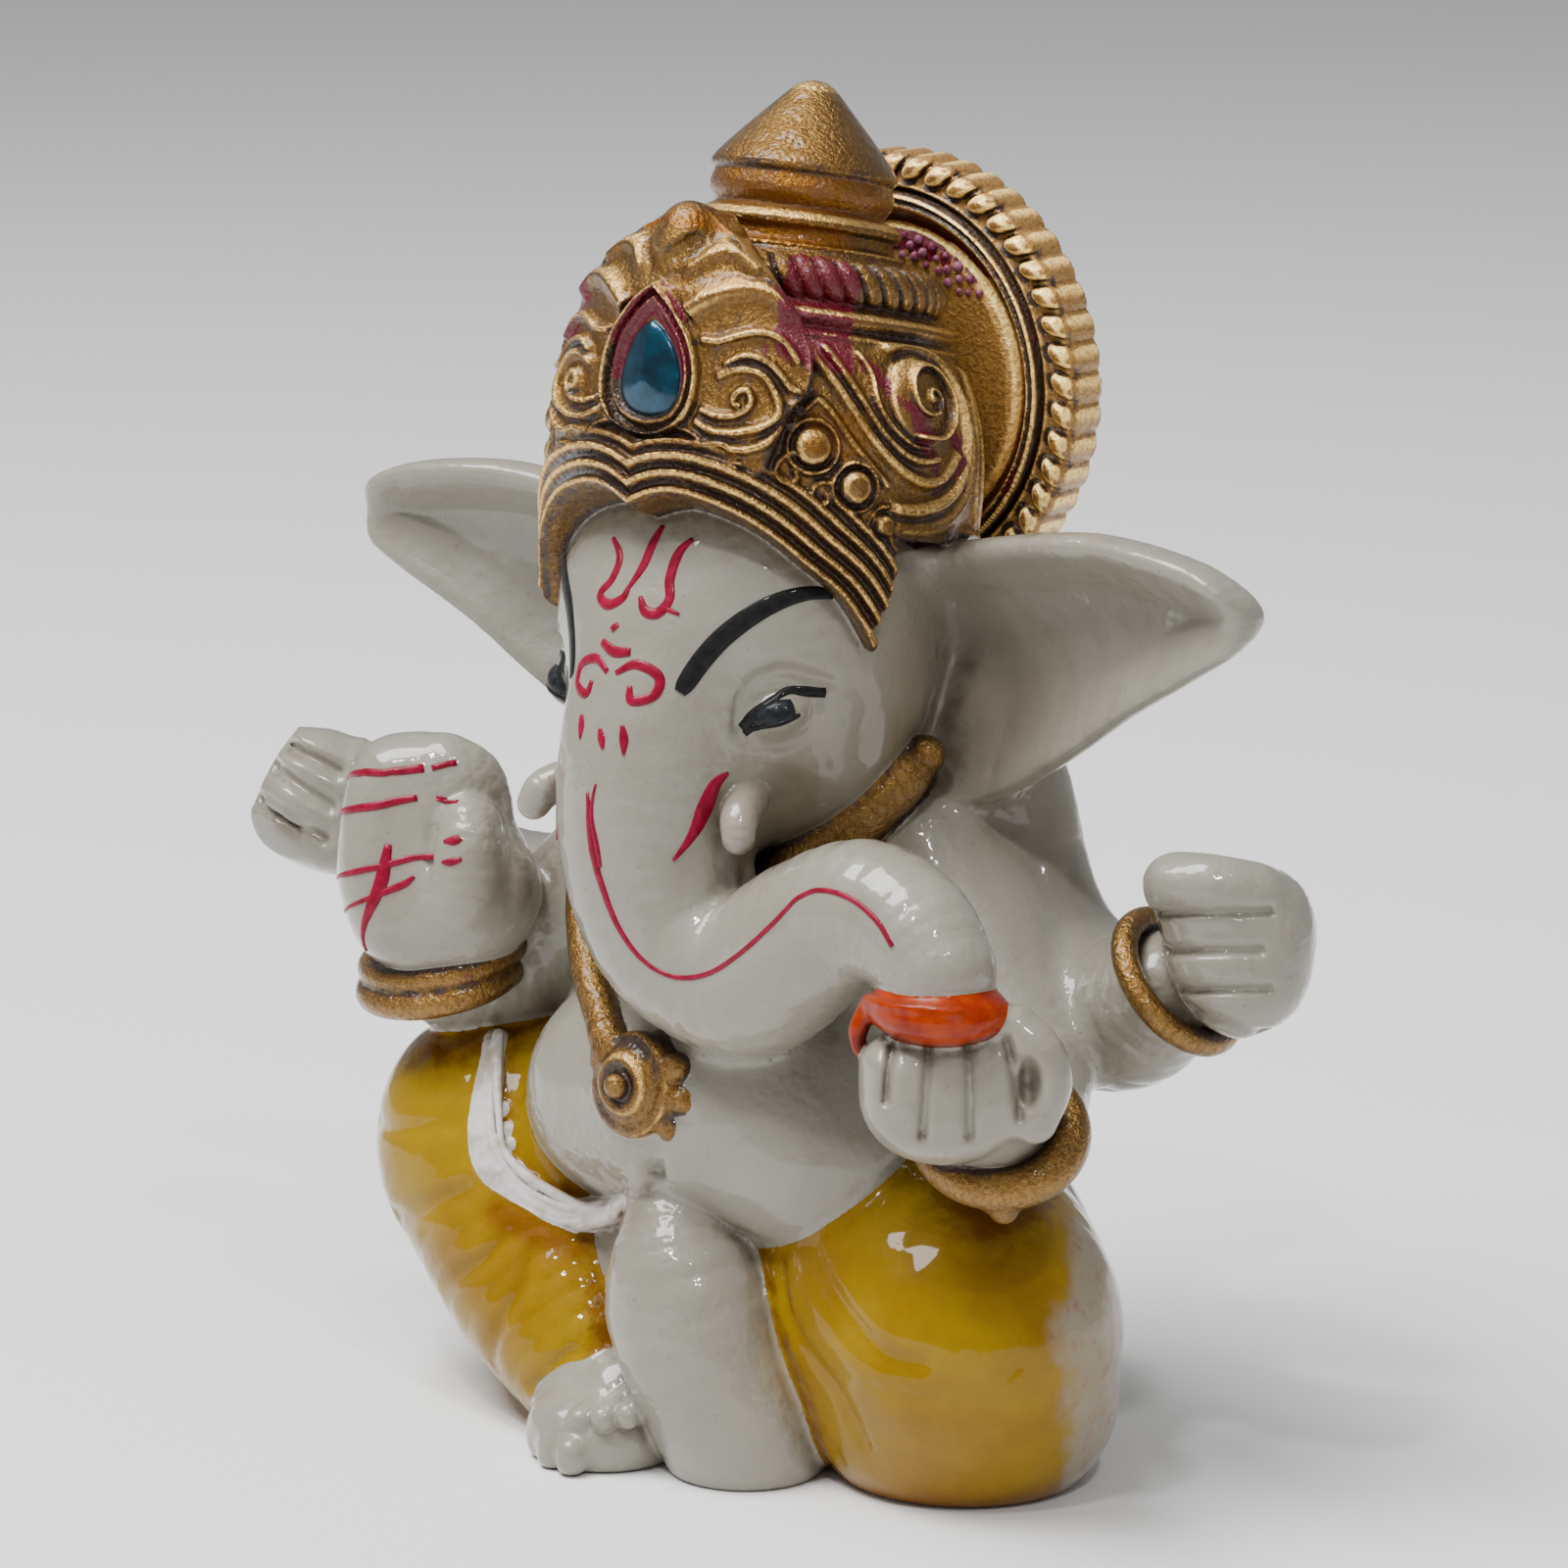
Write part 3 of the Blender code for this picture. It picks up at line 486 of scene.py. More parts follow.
CUPPED = [(4.0, -15.9), (4.1, -14.5), (5.1, -13.5), (6.5, -13.1), (8.8, -12.8), (10.8, -12.7),
          (12.4, -12.15), (13.4, -12.6), (14.1, -13.55), (14.7, -14.9), (15.0, -16.0),
          (14.7, -17.2), (14.1, -18.1), (12.4, -19.3), (10.5, -20.2), (8.5, -20.5),
          (6.4, -20.1), (4.9, -19.0), (4.1, -17.5)]


def hand_rear_left(p):
    q = facing(p)
    d = slab(q, FIST, 0.947, -16.6, 4.3, 2.6)
    knuckle = tube(q, [(19.8, -18.4, -5.1, 1.5), (21.6, -19.4, -5.2, 1.6),
                       (23.6, -19.2, -5.4, 1.4)], 3)
    d = join(d, knuckle, 1.0)
    for level, start, end in ((-6.45, 19.0, 24.4), (-8.4, 19.4, 24.0), (-10.35, 19.8, 24.4)):
        line = [(start, level - 0.1), (0.5 * (start + end), level), (end, level + 0.05)]
        d = scratch(d, q, line, -16.6, 0.32, 0.28)
    return scratch(d, q, [(20.2, -11.2), (22.4, -12.1), (25.2, -12.7)], -16.6, 0.2, 0.25)


def hand_rear_right(p):
    q = facing(p)
    d = slab(q, OPEN_HAND, 1.05, 16.6, 3.6, 2.4)
    for line in ([(-27.6, 2.0), (-25.0, 0.7)], [(-28.6, 0.9), (-25.4, -1.2)],
                 [(-29.4, -1.0), (-25.8, -3.0)]):
        d = scratch(d, q, line, 16.6, 0.5, 0.42)
    return d


def hand_front_right(p):
    q = facing(p)
    d = slab(q, PALM, 1.0125, 5.0, 3.4, 2.6)
    index = tube(q, [(-18.2, 4.0, 1.0, 1.5), (-17.0, 4.2, 0.2, 1.7), (-16.4, 4.6, -1.0, 1.5)], 3)
    d = join(d, index, 1.0)
    heel = ball(q, (-16.9, 4.2, -6.2), (3.2, 3.0, 3.4))
    d = join(d, heel, 2.0)
    thumb = tube(q, [(-17.2, 2.2, -5.8, 2.3), (-17.05, 1.9, -3.6, 1.95),
                     (-17.0, 2.2, -2.4, 1.8)], 3)
    d = join(d, thumb, 0.45)
    d = score(d, q, [(-19.7, 1.6, 2.0), (-19.45, 1.4, 0.6), (-19.2, 1.4, -0.8)], 0.32, 0.2)
    return score(d, q, [(-18.6, 1.8, -6.4), (-19.0, 1.5, -4.4), (-19.0, 1.5, -2.6)], 0.2, 0.35)


def arm_front_right(p):
    return tube(p, [(-9.2, 0.8, 31.6, 3.8), (-12.6, -0.4, 27.6, 4.0), (-15.8, -3.2, 23.6, 3.9),
                    (-17.9, -6.6, 23.4, 3.4), (-18.0, -7.8, 26.0, 3.0)])


def hand_front_left(p):
    q = facing(p)
    d = slab(q, CUPPED, 0.935, -20.4, 3.6, 2.4)
    thumb = tube(q, [(11.6, -22.6, -12.2, 1.2), (12.8, -22.9, -13.4, 1.2),
                     (13.2, -22.6, -15.0, 1.2), (12.5, -22.2, -16.8, 1.2)], 3)
    d = join(d, thumb, 0.5)
    for line in ([(5.4, -13.2), (5.2, -14.4), (5.1, -15.8)],
                 [(7.25, -12.4), (7.1, -14.8), (6.9, -17.5)],
                 [(9.1, -12.6), (9.25, -14.8), (9.25, -17.5)],
                 [(11.1, -12.7), (11.5, -14.8), (11.8, -16.6)]):
        d = scratch(d, q, line, -20.4, 0.36, 0.27)
    return cut(d, ball(q, (12.15, -24.0, -15.0), (0.62, 1.9, 1.3)), 0.6)


def arm_front_left(p):
    return tube(p, [(9.2, 0.8, 31.6, 3.8), (13.4, -0.2, 27.4, 4.0), (17.4, -2.4, 22.6, 3.8),
                    (20.2, -7.0, 20.6, 3.3), (21.6, -10.6, 22.4, 2.9)])


def sweet(p):
    d = ball(p, (20.6, -13.9, 28.5), (3.8, 3.3, 1.7))
    drip = tube(p, [(17.4, -15.4, 28.4, 0.5), (17.0, -15.7, 27.2, 0.5), (16.9, -15.6, 26.2, 0.3)])
    d = join(d, drip, 0.4)
    return score(d, p, [(17.6, -15.8, 29.0), (20.2, -17.2, 29.3), (23.4, -16.0, 29.2)],
                 -0.25, 0.3)


# ------------------------------------------------------------ the crown's form

CROWN_BASE = np.array((0.0, -2.0, 50.0), np.float32)
CROWN_LEAN = math.radians(12.0)
DEGREE = math.radians(1.0) * 11.5        # mm along the crown for one degree


def around_crown(points):
    """Angle in degrees (0 in front, + to the left), height and radius of points."""
    x, y, z = (points - CROWN_BASE).T
    back = y * math.cos(CROWN_LEAN) - z * math.sin(CROWN_LEAN)
    height = y * math.sin(CROWN_LEAN) + z * math.cos(CROWN_LEAN)
    angle = np.degrees(np.arctan2(x, -back))
    return angle, height, np.hypot(x, back)


def crown_point(angle, height, radius):
    """The point at an angle, height and radius of the crown."""
    turn = math.radians(angle)
    x, back = radius * math.sin(turn), -radius * math.cos(turn)
    y = back * math.cos(CROWN_LEAN) + height * math.sin(CROWN_LEAN)
    z = height * math.cos(CROWN_LEAN) - back * math.sin(CROWN_LEAN)
    return CROWN_BASE + np.array((x, y, z), np.float32)


class Relief:
    """Heights in mm over (angle in degrees, height), the same on both sides."""

    def __init__(self, widest, low, high, scale, cell=0.07):
        self.low, self.scale, self.cell = low, scale, cell
        self.across = np.arange(0, widest * scale + cell, cell, dtype=np.float32)
        self.up = np.arange(low, high + cell, cell, dtype=np.float32)
        self.grid = np.stack(np.meshgrid(self.across, self.up, indexing="ij"), -1)
        self.values = np.zeros(self.grid.shape[:2], np.float32)

    def away(self, points):
        """Distance of every cell from a smooth line through points."""
        curve = route(points) * np.array((self.scale, 1.0), np.float32)
        best = np.full(self.values.shape, 1e3, np.float32)
        for start, end in zip(curve, curve[1:]):
            along = end - start
            low = np.minimum(start, end) - 1.5
            high = np.maximum(start, end) + 1.5
            i = np.searchsorted(self.across, (low[0], high[0]))
            j = np.searchsorted(self.up, (low[1], high[1]))
            window = (slice(*i), slice(*j))
            offset = self.grid[window] - start
            share = np.clip(offset @ along / max(1e-9, along @ along), 0.0, 1.0)
            reach = np.linalg.norm(offset - share[..., None] * along, axis=-1)
            best[window] = np.minimum(best[window], reach)
        return best

    def ridge(self, points, height, width):
        """A rounded ridge along a line."""
        self.values = np.maximum(self.values, height * bump(self.away(points), width))

    def groove(self, points, depth, width):
        """A rounded groove along a line."""
        self.values -= depth * bump(self.away(points), width)

    def boss(self, angle, height, radius, rise, ring=0.0):
        """A domed boss, with a thin ridge round it."""
        offset = self.grid - np.array((angle * self.scale, height), np.float32)
        reach = np.linalg.norm(offset, axis=-1)
        dome = rise * np.sqrt(np.clip(1 - (reach / radius) ** 2, 0, 1))
        rim = ring * bump(reach - radius - 0.32, 0.17)
        self.values = np.maximum(self.values, np.maximum(dome, rim))

    def spiral(self, angle, height, start, size, turns, rise, width, spin=1):
        """A ridge that winds out from a centre; start is its last direction."""
        points = []
        count = int(turns * 9)
        for k in range(count + 1):
            reach = 0.25 + (size - 0.25) * k / count
            way = math.radians(start + spin * 360.0 * turns * (1 - k / count))
            points.append((angle + reach * math.cos(way) / self.scale,
                           height + reach * math.sin(way)))
        self.ridge(points, rise, width)

    def at(self, angle, height):
        """The heights at angles and heights, interpolated."""
        u = np.clip(np.abs(angle) * self.scale / self.cell, 0, len(self.across) - 1.01)
        v = np.clip((height - self.low) / self.cell, 0, len(self.up) - 1.01)
        i, j = u.astype(int), v.astype(int)
        a, b = u - i, v - j
        grid = self.values
        low = grid[i, j] * (1 - b) + grid[i, j + 1] * b
        high = grid[i + 1, j] * (1 - b) + grid[i + 1, j + 1] * b
        return low * (1 - a) + high * a


def plate_relief():
    """Feathered ribs, curls and the tear-shaped frame of the front plate."""
    relief = Relief(60, 0.0, 16.0, DEGREE)
    relief.ridge([(9, 12.0), (14.6, 12.9), (21, 13.1), (27.5, 12.4)], 0.50, 0.50)
    relief.ridge([(10.5, 9.7), (16, 10.5), (22, 11.1), (28, 11.3), (33.7, 11.1), (38, 10.5)],
                 0.55, 0.52)
    relief.ridge([(16.5, 8.4), (21, 8.4), (25.8, 8.8), (31.4, 9.1), (36, 9.0), (39, 8.6),
                  (42, 7.9)], 0.42, 0.24)
    relief.ridge([(24, 7.3), (28, 7.8), (31.7, 7.8), (35.5, 7.5), (38.5, 7.0), (41, 6.5),
                  (44, 6.3)], 0.42, 0.24)
    relief.ridge([(22.5, 6.7), (27, 7.1), (32, 7.1), (35, 6.8), (37.2, 6.2), (38.8, 5.5),
                  (38.2, 4.8), (35, 4.3), (31, 4.0), (27, 3.8), (22, 3.8), (17.5, 4.2)],
                 0.45, 0.26)
    relief.ridge([(18.5, 4.8), (23, 4.6), (27.4, 4.7), (30.6, 5.1), (31.6, 5.6), (30.2, 6.1),
                  (27.6, 5.9), (27.0, 5.45), (28.6, 5.2)], 0.42, 0.22)
    relief.ridge([(15, 2.3), (19, 2.9), (24.9, 3.2), (28.5, 3.0), (32.6, 3.1), (37, 3.6),
                  (40, 4.4)], 0.42, 0.26)
    relief.ridge([(16, 1.7), (21, 2.2), (26, 2.1), (31, 2.3)], 0.35, 0.22)
    relief.ridge([(18, 14.2), (24.5, 13.3), (30.3, 12.3), (36.4, 11.5), (40.8, 10.4),
                  (44.2, 9.4), (45.6, 8.2), (46, 6.9), (45, 6.1), (42.5, 5.6)], 0.35, 0.26)
    tear = [(0, 10.9), (4, 10.3), (8, 9.5), (12, 8.5), (14.7, 7.2), (15.4, 6.0), (14.4, 4.9),
            (11.3, 4.0), (6.5, 3.5), (0, 3.3)]
    relief.values[relief.away(tear) < 0.55] *= 0.2
    relief.ridge(tear, 0.62, 0.24)
    inner = [(a * 0.80, 6.75 + (h - 6.75) * 0.84) for a, h in tear]
    inside = np.interp(relief.grid[..., 1], *zip(*[(h, a) for a, h in reversed(tear)]))
    hollow = relief.grid[..., 0] < inside * DEGREE - 0.15
    relief.values[hollow] = -0.30
    relief.ridge(inner, 0.36, 0.20)
    relief.ridge([(5, 3.3), (9, 3.7), (14, 3.7), (19, 3.2), (14, 2.9), (9, 2.9), (5, 3.3)],
                 0.34, 0.2)
    return relief


def side_relief():
    """Leaf ribs, side scroll and rosettes of the crown's flanks."""
    relief = Relief(180, -4.0, 11.0, DEGREE)
    relief.ridge([(47, 8.3), (53, 7.3), (58, 6.2), (63, 5.0), (69, 3.9), (76, 3.0), (84, 2.6),
                  (91, 3.0), (97, 4.2)], 0.55, 0.32)
    relief.ridge([(51, 8.8), (56, 7.8), (61, 6.6), (65, 5.6), (70, 4.6), (76, 3.9), (82, 3.7),
                  (88, 3.9)], 0.50, 0.26)
    relief.ridge([(46, 5.6), (49, 6.1), (53, 5.6), (57, 4.7), (61, 3.9), (66, 3.0), (71, 2.2)],
                 0.40, 0.22)
    relief.ridge([(62, 8.7), (65.5, 7.8), (67, 6.4), (71, 5.3), (78, 4.5), (84, 4.4)],
                 0.45, 0.22)
    relief.boss(83, 7.0, 2.45, 0.75)
    relief.spiral(83.5, 7.1, 250, 2.3, 1.6, 1.10, 0.24)
    relief.boss(83.5, 7.0, 0.5, 1.1)
    relief.ridge([(72, 9.3), (82, 9.6), (92, 9.2), (99, 8.2), (103, 6.6), (102, 4.6),
                  (98, 2.9), (91, 1.7), (82, 1.1), (75, 1.0)], 0.75, 0.42)
    relief.ridge([(76, 0.2), (86, 0.3), (96, 0.8), (104, 2.2), (108, 4.5), (108, 7.0)],
                 0.5, 0.5)
    relief.boss(48.9, 3.7, 1.05, 0.85, 0.45)
    relief.boss(61.6, 1.9, 0.95, 0.80, 0.45)
    relief.boss(71.8, 0.1, 0.70, 0.60, 0.35)
    for angle, height, reach in ((44, 2.2, 1.1), (53, 1.2, 0.8), (42, 5.0, 0.7)):
        relief.spiral(angle, height, 60, reach, 0.9, 0.4, 0.18)
    relief.ridge([(55, 0.4), (60, -0.4), (64, -1.4), (66, -2.6)], 0.45, 0.22)
    for k in range(7):
        angle = 116 + 10 * k
        relief.ridge([(angle, 0.6), (angle - 4, 3.4), (angle, 6.4), (angle + 3, 8.6)], 0.4, 0.35)
    relief.ridge([(108, 0.2), (130, 0.2), (155, 0.2), (179, 0.2)], 0.5, 0.4)
    return relief


PLATE_RELIEF = plate_relief()
SIDE_RELIEF = side_relief()


def dome_radius(height):
    """Radius of the crown's dome at a height."""
    return 11.2 * np.sqrt(np.clip(1 - ((height - 2.0) / 12.5) ** 2, 0.05, 1))


def crown_dome(p):
    angle, height, radius = around_crown(p)
    level = np.maximum(height, 2.0)
    skin = radius - dome_radius(level) - SIDE_RELIEF.at(angle, height)
    skin += 1.2 * np.clip(1.3 - np.abs(angle) / 25, 0, 1) * np.clip(height - 2.5, 0, 1)
    bottom = np.interp(np.abs(angle), (40, 60), (0.8, -0.4))
    slab = np.maximum(height - 9.6, bottom - height)
    return meet(skin * 0.85, slab, 0.3)


def plate_radius(angle, height):
    """Radius of the front plate's face, flatter in the middle."""
    rise = (height - 1.6) / 13.2
    middle = np.interp(height, (0, 3.4, 6.6, 8.7, 10.8, 14), (-2.6, -1.5, -0.9, -0.2, 0.4, -0.1))
    return 12.2 - 2.6 * rise ** 2 + middle * bump(angle, 26.0)


def plate_width(height):
    """Half of the front plate's angle at a height."""
    return np.interp(height, (1.0, 2.4, 4.2, 5.5, 6.3, 7.4, 8.4, 10.4, 12.3, 14.2, 15.3),
                     (34, 38, 40.5, 42.5, 45.5, 46.5, 45.8, 41, 31, 17, 7))


def crown_front_plate(p):
    angle, height, radius = around_crown(p)
    skin = radius - plate_radius(angle, height) - PLATE_RELIEF.at(angle, height) + 0.3
    back = 2.4 - (skin + 2.6 + 2.4)
    side = (np.abs(angle) - plate_width(height)) * DEGREE * 0.8
    bottom = np.interp(np.abs(angle), (0, 16, 30, 42), (2.9, 2.8, 2.0, 1.0))
    d = meet(skin * 0.85, np.maximum(side, np.maximum(height - 15.2, bottom - height)), 0.45)
    d = np.maximum(d, -(radius - plate_radius(angle, height) + 2.6))
    knob = ball(p, crown_point(1.0, 13.2, 9.3), (1.8, 1.7, 2.3), (-14, 0, 0))
    hole = tube(p, [(*crown_point(-3.0, 14.2, 11.0), 0.22), (*crown_point(-5.0, 13.2, 11.2), 0.2)])
    slot = tube(p, [(*crown_point(-1.5, 11.9, 11.3), 0.22), (*crown_point(5.0, 12.8, 10.9), 0.3),
                    (*crown_point(9.0, 13.5, 10.4), 0.22)])
    return cut(join(d, knob, 0.5), np.minimum(hole, slot) - 0.18, 0.25)


GEM = [(0.0, 9.2), (0.75, 8.75), (1.4, 7.9), (1.8, 7.0), (2.0, 6.0), (1.85, 5.1),
       (1.25, 4.4), (0.0, 4.1), (-1.25, 4.4), (-1.85, 5.1), (-2.0, 6.0), (-1.8, 7.0),
       (-1.4, 7.9), (-0.75, 8.75)]


def crown_gem(p):
    angle, height, radius = around_crown(p)
    edge = outline(np.radians(angle) * 10.6, height, GEM)
    dome = np.sqrt(np.clip(-edge / 1.8, 0, 1))
    face = plate_radius(angle, height) - 0.35 + 0.75 * dome
    return meet((radius - face) * 0.6, np.maximum(edge, 9.8 - radius), 0.2)


def crown_ring(p):
    angle, height, radius = around_crown(p)
    face = np.interp(height, (9.0, 9.35, 9.6, 9.85, 10.3, 10.7, 10.9, 11.4),
                     (8.6, 9.2, 9.0, 8.7, 9.1, 8.9, 8.2, 7.6))
    return meet((radius - face) * 0.8, np.abs(height - 10.1) - 1.4, 0.2)


def crown_rope_ring(p):
    angle, height, radius = around_crown(p)
    turn = np.mod(angle / 360.0 * 44 + (height - 12.2) * 0.42, 1.0) - 0.5
    lobe = 0.42 * (np.sqrt(np.clip(1 - (2 * turn) ** 2, 0, 1)) - 0.55)
    torus = np.hypot(radius - 7.15, (height - 12.25) * 0.95) - 1.05
    torus -= lobe * np.clip((radius - 6.4) / 1.0, 0, 1)
    core = meet(radius - 7.2, np.abs(height - 12.2) - 1.2, 0.2)
    return join(torus * 0.8, core, 0.15)


def crown_collar(p):
    angle, height, radius = around_crown(p)
    face = np.interp(height, (13.0, 13.5, 13.8, 14.05, 14.3, 14.9, 15.1, 15.4, 15.7, 16.1),
                     (6.2, 6.1, 5.7, 5.75, 5.2, 5.1, 5.5, 5.5, 5.2, 4.4))
    return meet((radius - face) * 0.8, np.abs(height - 14.6) - 1.5, 0.15)


def crown_finial(p):
    angle, height, radius = around_crown(p)
    face = np.interp(height, (15.7, 16.0, 16.3, 16.7, 17.1, 17.5, 17.8, 18.05, 18.3, 18.7, 19.3,
                              20.4, 21.4, 22.2, 22.65, 22.9, 23.0),
                     (4.1, 4.4, 4.6, 4.85, 4.9, 4.8, 4.7, 4.95, 4.95, 4.7, 4.2,
                      3.2, 2.25, 1.5, 1.05, 0.6, 0.0))
    return meet((radius - face) * 0.72, np.maximum(15.6 - height, height - 23.0), 0.12)


BRIM = [(0.0, -12.6, 51.55, 3.2), (1.5, -12.4, 52.2, 3.0), (3.0, -11.9, 52.2, 3.0),
        (4.9, -10.6, 51.3, 3.2), (6.4, -9.6, 50.25, 3.6), (7.8, -8.7, 48.9, 4.2),
        (9.0, -7.7, 47.6, 4.3), (9.7, -7.1, 46.4, 3.2), (10.2, -6.6, 45.2, 0.7)]


def crown_brim(p):
    """A ribbed band that rises from its scalloped lower edge."""
    q = both_sides(p)
    curve = route(BRIM, 3)
    best = np.full(len(q), 1e3, np.float32)
    rise = np.zeros(len(q), np.float32)
    tall = np.ones(len(q), np.float32)
    out = q - np.array((0, -1.5, 48.0), np.float32)
    for start, end in zip(curve, curve[1:]):
        along = end[:3] - start[:3]
        offset = q - start[:3]
        share = np.clip(offset @ along / (along @ along), 0.0, 1.0)
        offset = offset - share[:, None] * along
        apart = np.sqrt((offset ** 2).sum(1))
        up = np.cross(out, along)
        up /= np.maximum(np.linalg.norm(up, axis=1, keepdims=True), 1e-6)
        closer = apart < best
        best = np.where(closer, apart, best)
        rise = np.where(closer, (offset * up).sum(1), rise)
        tall = np.where(closer, start[3] + share * (end[3] - start[3]), tall)
    shell = join(head(q), around_crown(q)[2] - 10.3, 1.2)
    part = np.clip(rise / tall, 0, 1)
    ribs = 0.25 * np.cos((rise - 0.30) * 2 * np.pi / 0.74) + 0.12 * bump(rise - 1.8, 0.5)
    skin = shell - (0.85 + 0.35 * np.sin(np.pi * part) + ribs)
    edge = np.maximum(-rise, rise - tall)
    return meet(skin * 0.8, np.maximum(edge, best - tall - 0.3) * 0.9, 0.45)


def crown_scroll_left(p):
    angle, height, radius = around_crown(p)
    level = np.maximum(height, 2.0)
    skin = radius - dome_radius(level) - SIDE_RELIEF.at(angle, height) - 0.05
    away = np.hypot((angle - 83.0) * DEGREE, height - 7.0) - 2.5
    return np.maximum(meet(skin * 0.85, away, 0.2), dome_radius(level) - 1.0 - radius)


def crown_scroll_right(p):
    return crown_scroll_left(mirror(p))


# ------------------------------------------------------------------ the halo

HALO = np.array((0.0, 10.2, 55.9), np.float32)


def around_halo(points):
    """Turn in radians, distance from the centre and distance in front."""
    x, y, z = (points - HALO).T
    return np.arctan2(z, x), np.hypot(x, z), -y


def halo_disc(p):
    turn, reach, front = around_halo(p)
    face = np.interp(reach, (0, 7.9, 8.4, 8.8, 9.5), (1.15, 1.1, 0.85, 0.25, 0.1))
    return meet((front - face) * 0.9, np.maximum(reach - 9.45, -front - 1.5), 0.1)


def halo_ring(p):
    turn, reach, front = around_halo(p)
    face = np.interp(reach, (9.0, 9.3, 9.55, 9.75, 9.95, 10.15, 10.35, 10.6),
                     (0.2, 1.2, 1.6, 1.35, 1.62, 1.45, 0.9, 0.3))
    body = meet((front - face) * 0.8, np.maximum(np.abs(reach - 9.8) - 0.75, -front - 1.5), 0.1)
    return body


def halo_border(p):
    turn, reach, front = around_halo(p)
    step = np.mod(turn / (2 * np.pi) * 46 + 0.3 * (reach - 11.4), 1.0) - 0.5
    side = step * 1.56
    along = np.clip(np.abs(reach - 11.75) - 0.2, 0, None)
    pill = np.sqrt(side ** 2 + along ** 2)
    lobe = 0.62 * np.sqrt(np.clip(1 - (pill / 0.62) ** 2, 0, 1))
    rim = 0.38 * bump(reach - 10.6, 0.26)
    face = 0.95 + lobe + rim - 0.45 * bump(reach - 12.3, 0.35)
    edge = reach - 12.15 - 0.22 * (1 - (2 * step) ** 2)
    return meet((front - face) * 0.8, np.maximum(np.maximum(edge, 10.4 - reach), -front - 1.5),
                0.35)


# ------------------------------------------------------------- the ornaments

def hoop(p, centre, radii, wire, turn):
    """Distance to a bent ring whose axis is Z before its turn."""
    local = (p - np.array(centre, np.float32)) @ rotation(turn)
    a, b = radii
    angle = np.arctan2(local[:, 1] / b, local[:, 0] / a)
    near = np.stack([a * np.cos(angle), b * np.sin(angle), np.zeros_like(angle)], 1)
    return np.sqrt(((local - near.astype(np.float32)) ** 2).sum(1)) - wire


def bangle_front_right_upper(p):
    return hoop(p, (-17.8, -7.7, 24.4), (4.3, 3.6), 0.75, (14, -6, 0))


def bangle_front_right_lower(p):
    return hoop(p, (-17.8, -7.9, 23.1), (4.2, 3.6), 0.8, (14, -6, 0))


def bangle_front_left(p):
    ring = hoop(p, (21.4, -9.6, 21.3), (3.7, 3.3), 1.15, (36, 18, 0))
    knob = ball(p, (23.0, -11.4, 18.0), (0.75, 0.75, 0.8))
    return join(ring, join(knob, ball(p, (22.6, -11.2, 18.6), (1.0, 1.0, 0.9)), 0.5), 0.5)


def bangle_rear_left(p, x=30.0):
    return hoop(p, (x - 4.8, 0.7, 27.8), (3.7, 3.7), 0.7, (-10, 50, -10))


def bangle_rear_right(p):
    return bangle_rear_left(mirror(p), 31.8)


def necklace_left(p):
    band = tube(p, [(9.6, -0.2, 37.9, 0.9), (8.6, -1.6, 36.6, 1.7), (7.2, -3.2, 35.0, 2.0),
                    (5.4, -5.0, 32.6, 1.8), (3.6, -7.8, 28.6, 1.2), (1.6, -10.6, 23.0, 0.9)])
    band = score(band, p, [(9.4, -1.6, 36.4), (8.0, -4.0, 34.8), (6.4, -6.0, 32.6)], 0.25, 0.35)
    return join(band, ball(p, (9.9, -0.6, 38.0), (1.1, 1.0, 1.0)), 0.4)


def necklace_right(p):
    d = tube(p, [(-8.8, -3.0, 34.6, 0.9), (-8.4, -6.6, 30.4, 0.9), (-6.2, -9.2, 26.6, 1.0),
                 (-3.8, -10.9, 24.0, 1.0), (-1.8, -12.2, 22.4, 1.1)])
    return join(d, ball(p, (-2.6, -11.9, 23.0), (1.0, 0.9, 0.9)), 0.3)


def pendant(p):
    d = ball(p, (0.2, -12.4, 20.8), (2.9, 1.7, 2.9))
    away = np.hypot(p[:, 0] + 0.1, p[:, 2] - 21.2)
    rings = 0.16 * np.cos(away * 2 * np.pi / 1.35)
    d = (d - rings) * 0.85
    d = join(d, ball(p, (-0.1, -14.1, 21.2), (0.7, 0.7, 0.7)), 0.25)
    for x, z in ((2.4, 19.0), (3.0, 20.6), (2.6, 22.3), (-2.2, 22.0)):
        d = join(d, ball(p, (x, -12.6, z), (0.8, 0.7, 0.8)), 0.3)
    return d


SASH = [(-14.3, -7.6, 19.9), (-13.2, -9.3, 17.7), (-12.6, -10.2, 15.7), (-11.7, -10.7, 14.1),
        (-10.2, -10.5, 12.9), (-8.1, -10.0, 12.0), (-6.5, -9.6, 11.9), (-4.2, -10.0, 12.7),
        (-1.6, -11.6, 14.0)]


